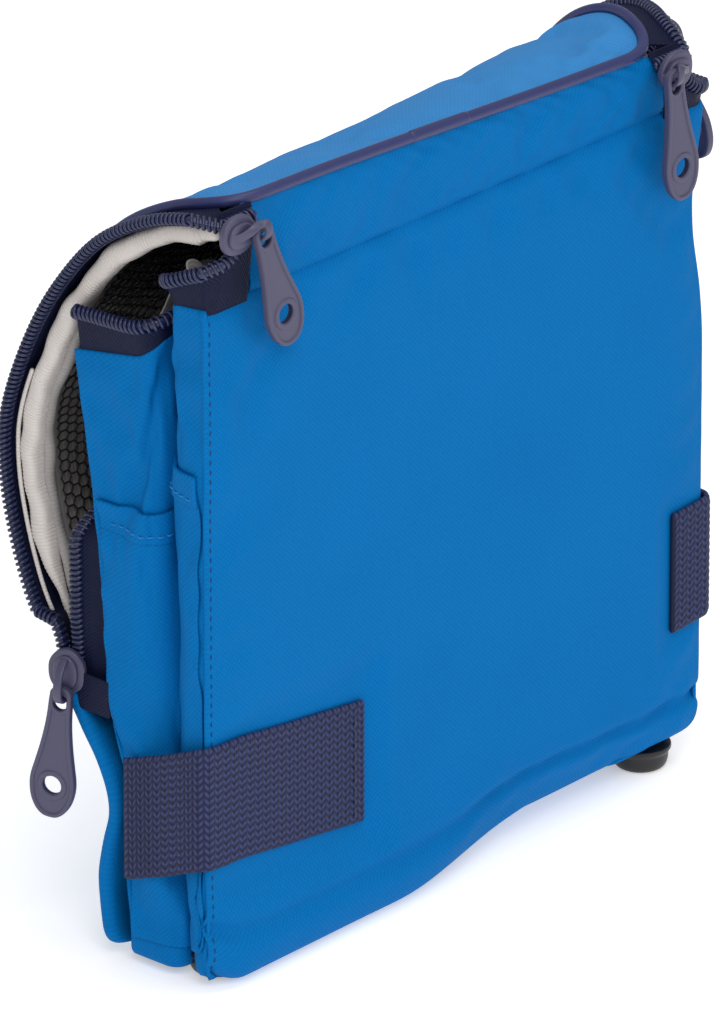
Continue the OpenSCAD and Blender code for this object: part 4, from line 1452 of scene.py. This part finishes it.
def webbing_relief(s, t):
    """Height of the loops: columns of slanted loops across the webbing, each leaning against the next."""
    column = s / LOOP_COLUMN
    place = column - np.floor(column)
    fold = np.where(np.floor(column) % 2 == 0, place, 1 - place)
    loop = 0.5 + 0.5 * np.sin(2 * math.pi * (t / LOOP_PITCH + fold * LOOP_SLANT))
    return 0.42 * np.sin(math.pi * place) ** 0.7 * (0.2 + 0.8 * loop)


def strap_grid(end):
    """The webbing from the tip of its tail, round the bag's edge, to its sewn end; rows run down."""
    facts = STRAP_LINES[end]
    outer = EDGE_X + 4.3
    radius = 4.2
    turns = np.linspace(0, math.pi / 2, 12)
    bend_y = radius - WEBBING_T - 0.35 - radius * np.sin(turns)
    bend = np.stack([-outer + radius - radius * np.cos(turns), bend_y], 1)
    line = np.concatenate([[[-outer, 29.7]], bend, [[-facts["end_x"], bend[-1, 1]]]])
    line = np.concatenate([line, np.zeros((len(line), 1))], 1)
    line = resampled(line, STRAP_STEP)[0]
    down = np.linspace(0, WEBBING_W, 104)
    walked = np.arange(len(line)) * STRAP_STEP
    lift = look_up(facts["tilt"], np.linspace(0, 1, len(line)))
    lift = np.convolve(np.pad(lift, 12, mode="edge"), np.ones(25) / 25, mode="valid")
    grid = np.zeros((len(down), len(line), 3))
    grid[..., :2] = line[None, :, :2]
    grid[..., 2] = facts["middle"] + WEBBING_W / 2 - down[:, None] + lift[None, :]
    bow = 0.35 * np.sin(walked * 0.09 + 1)[None, :] * np.ones((len(down), 1))
    grid -= grid_normals(grid) * bow[..., None] * 0.5
    relief = webbing_relief(walked[None, :], down[:, None])
    selvedge = np.minimum(down, WEBBING_W - down)[:, None]
    return grid, relief * np.clip(selvedge / 0.8, 0.3, 1)


def relief_sheet(grid, relief, thickness):
    """Sheet whose outer face carries a relief while its inner face stays plain."""
    points, faces, weave = sheet_shape(grid, thickness)
    count = relief.size
    points[:count] += grid_normals(grid).reshape(-1, 3) * relief.reshape(-1, 1)
    return points, faces, weave


for end, facts in STRAP_LINES.items():
    side = -1 if end == "left" else 1
    grid, relief = strap_grid(end)
    if end == "right":
        grid, relief = (grid * [-1, 1, 1])[:, ::-1], relief[:, ::-1]
    strap = add_mesh(f"{end}_strap_webbing", [relief_sheet(grid, relief, WEBBING_T)], MATERIALS["webbing"])
    strap_bend = [(side * (EDGE_X - 3), -1.2, 0), (side * (EDGE_X + 3.5), 3.0, 0)]
    bend_between(strap, strap_bend)
    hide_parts(f"{end}_strap", f"{end}_strap_end")
    declare_sheet(grid)
    if end == "left":
        stitch_x = -facts["end_x"] - 4.2
        row = np.stack([np.full(30, stitch_x), np.full(30, -2.35), np.linspace(37, 71, 30)], 1)
        seam("left_strap_seam", "webbing", [(row, (0, -1, 0))], THREAD_NAVY, length=2.6, gap=1.1, radius=0.36)
    hook = flat_grid((side * (EDGE_X + 1.5), 8, facts["middle"] + 17), (0, 20, 0), (0, 0, -34), 40, 26)
    hook[..., 2] += look_up(facts["tilt"], (29.7 - hook[..., 1]) / 100)
    hook = hook[:, ::-1] if end == "left" else hook
    hook_relief = 0.25 * (np.indices(hook.shape[:2]).sum(0) % 2)
    hook_piece = piece(f"{end}_strap_hook_pad", "hook_tape", [relief_sheet(hook[:, ::-1], hook_relief, 0.9)],
                       body=f"{end}_strap_tail", replaces=[f"{end}_strap_hook"])
    declare_sheet(hook)
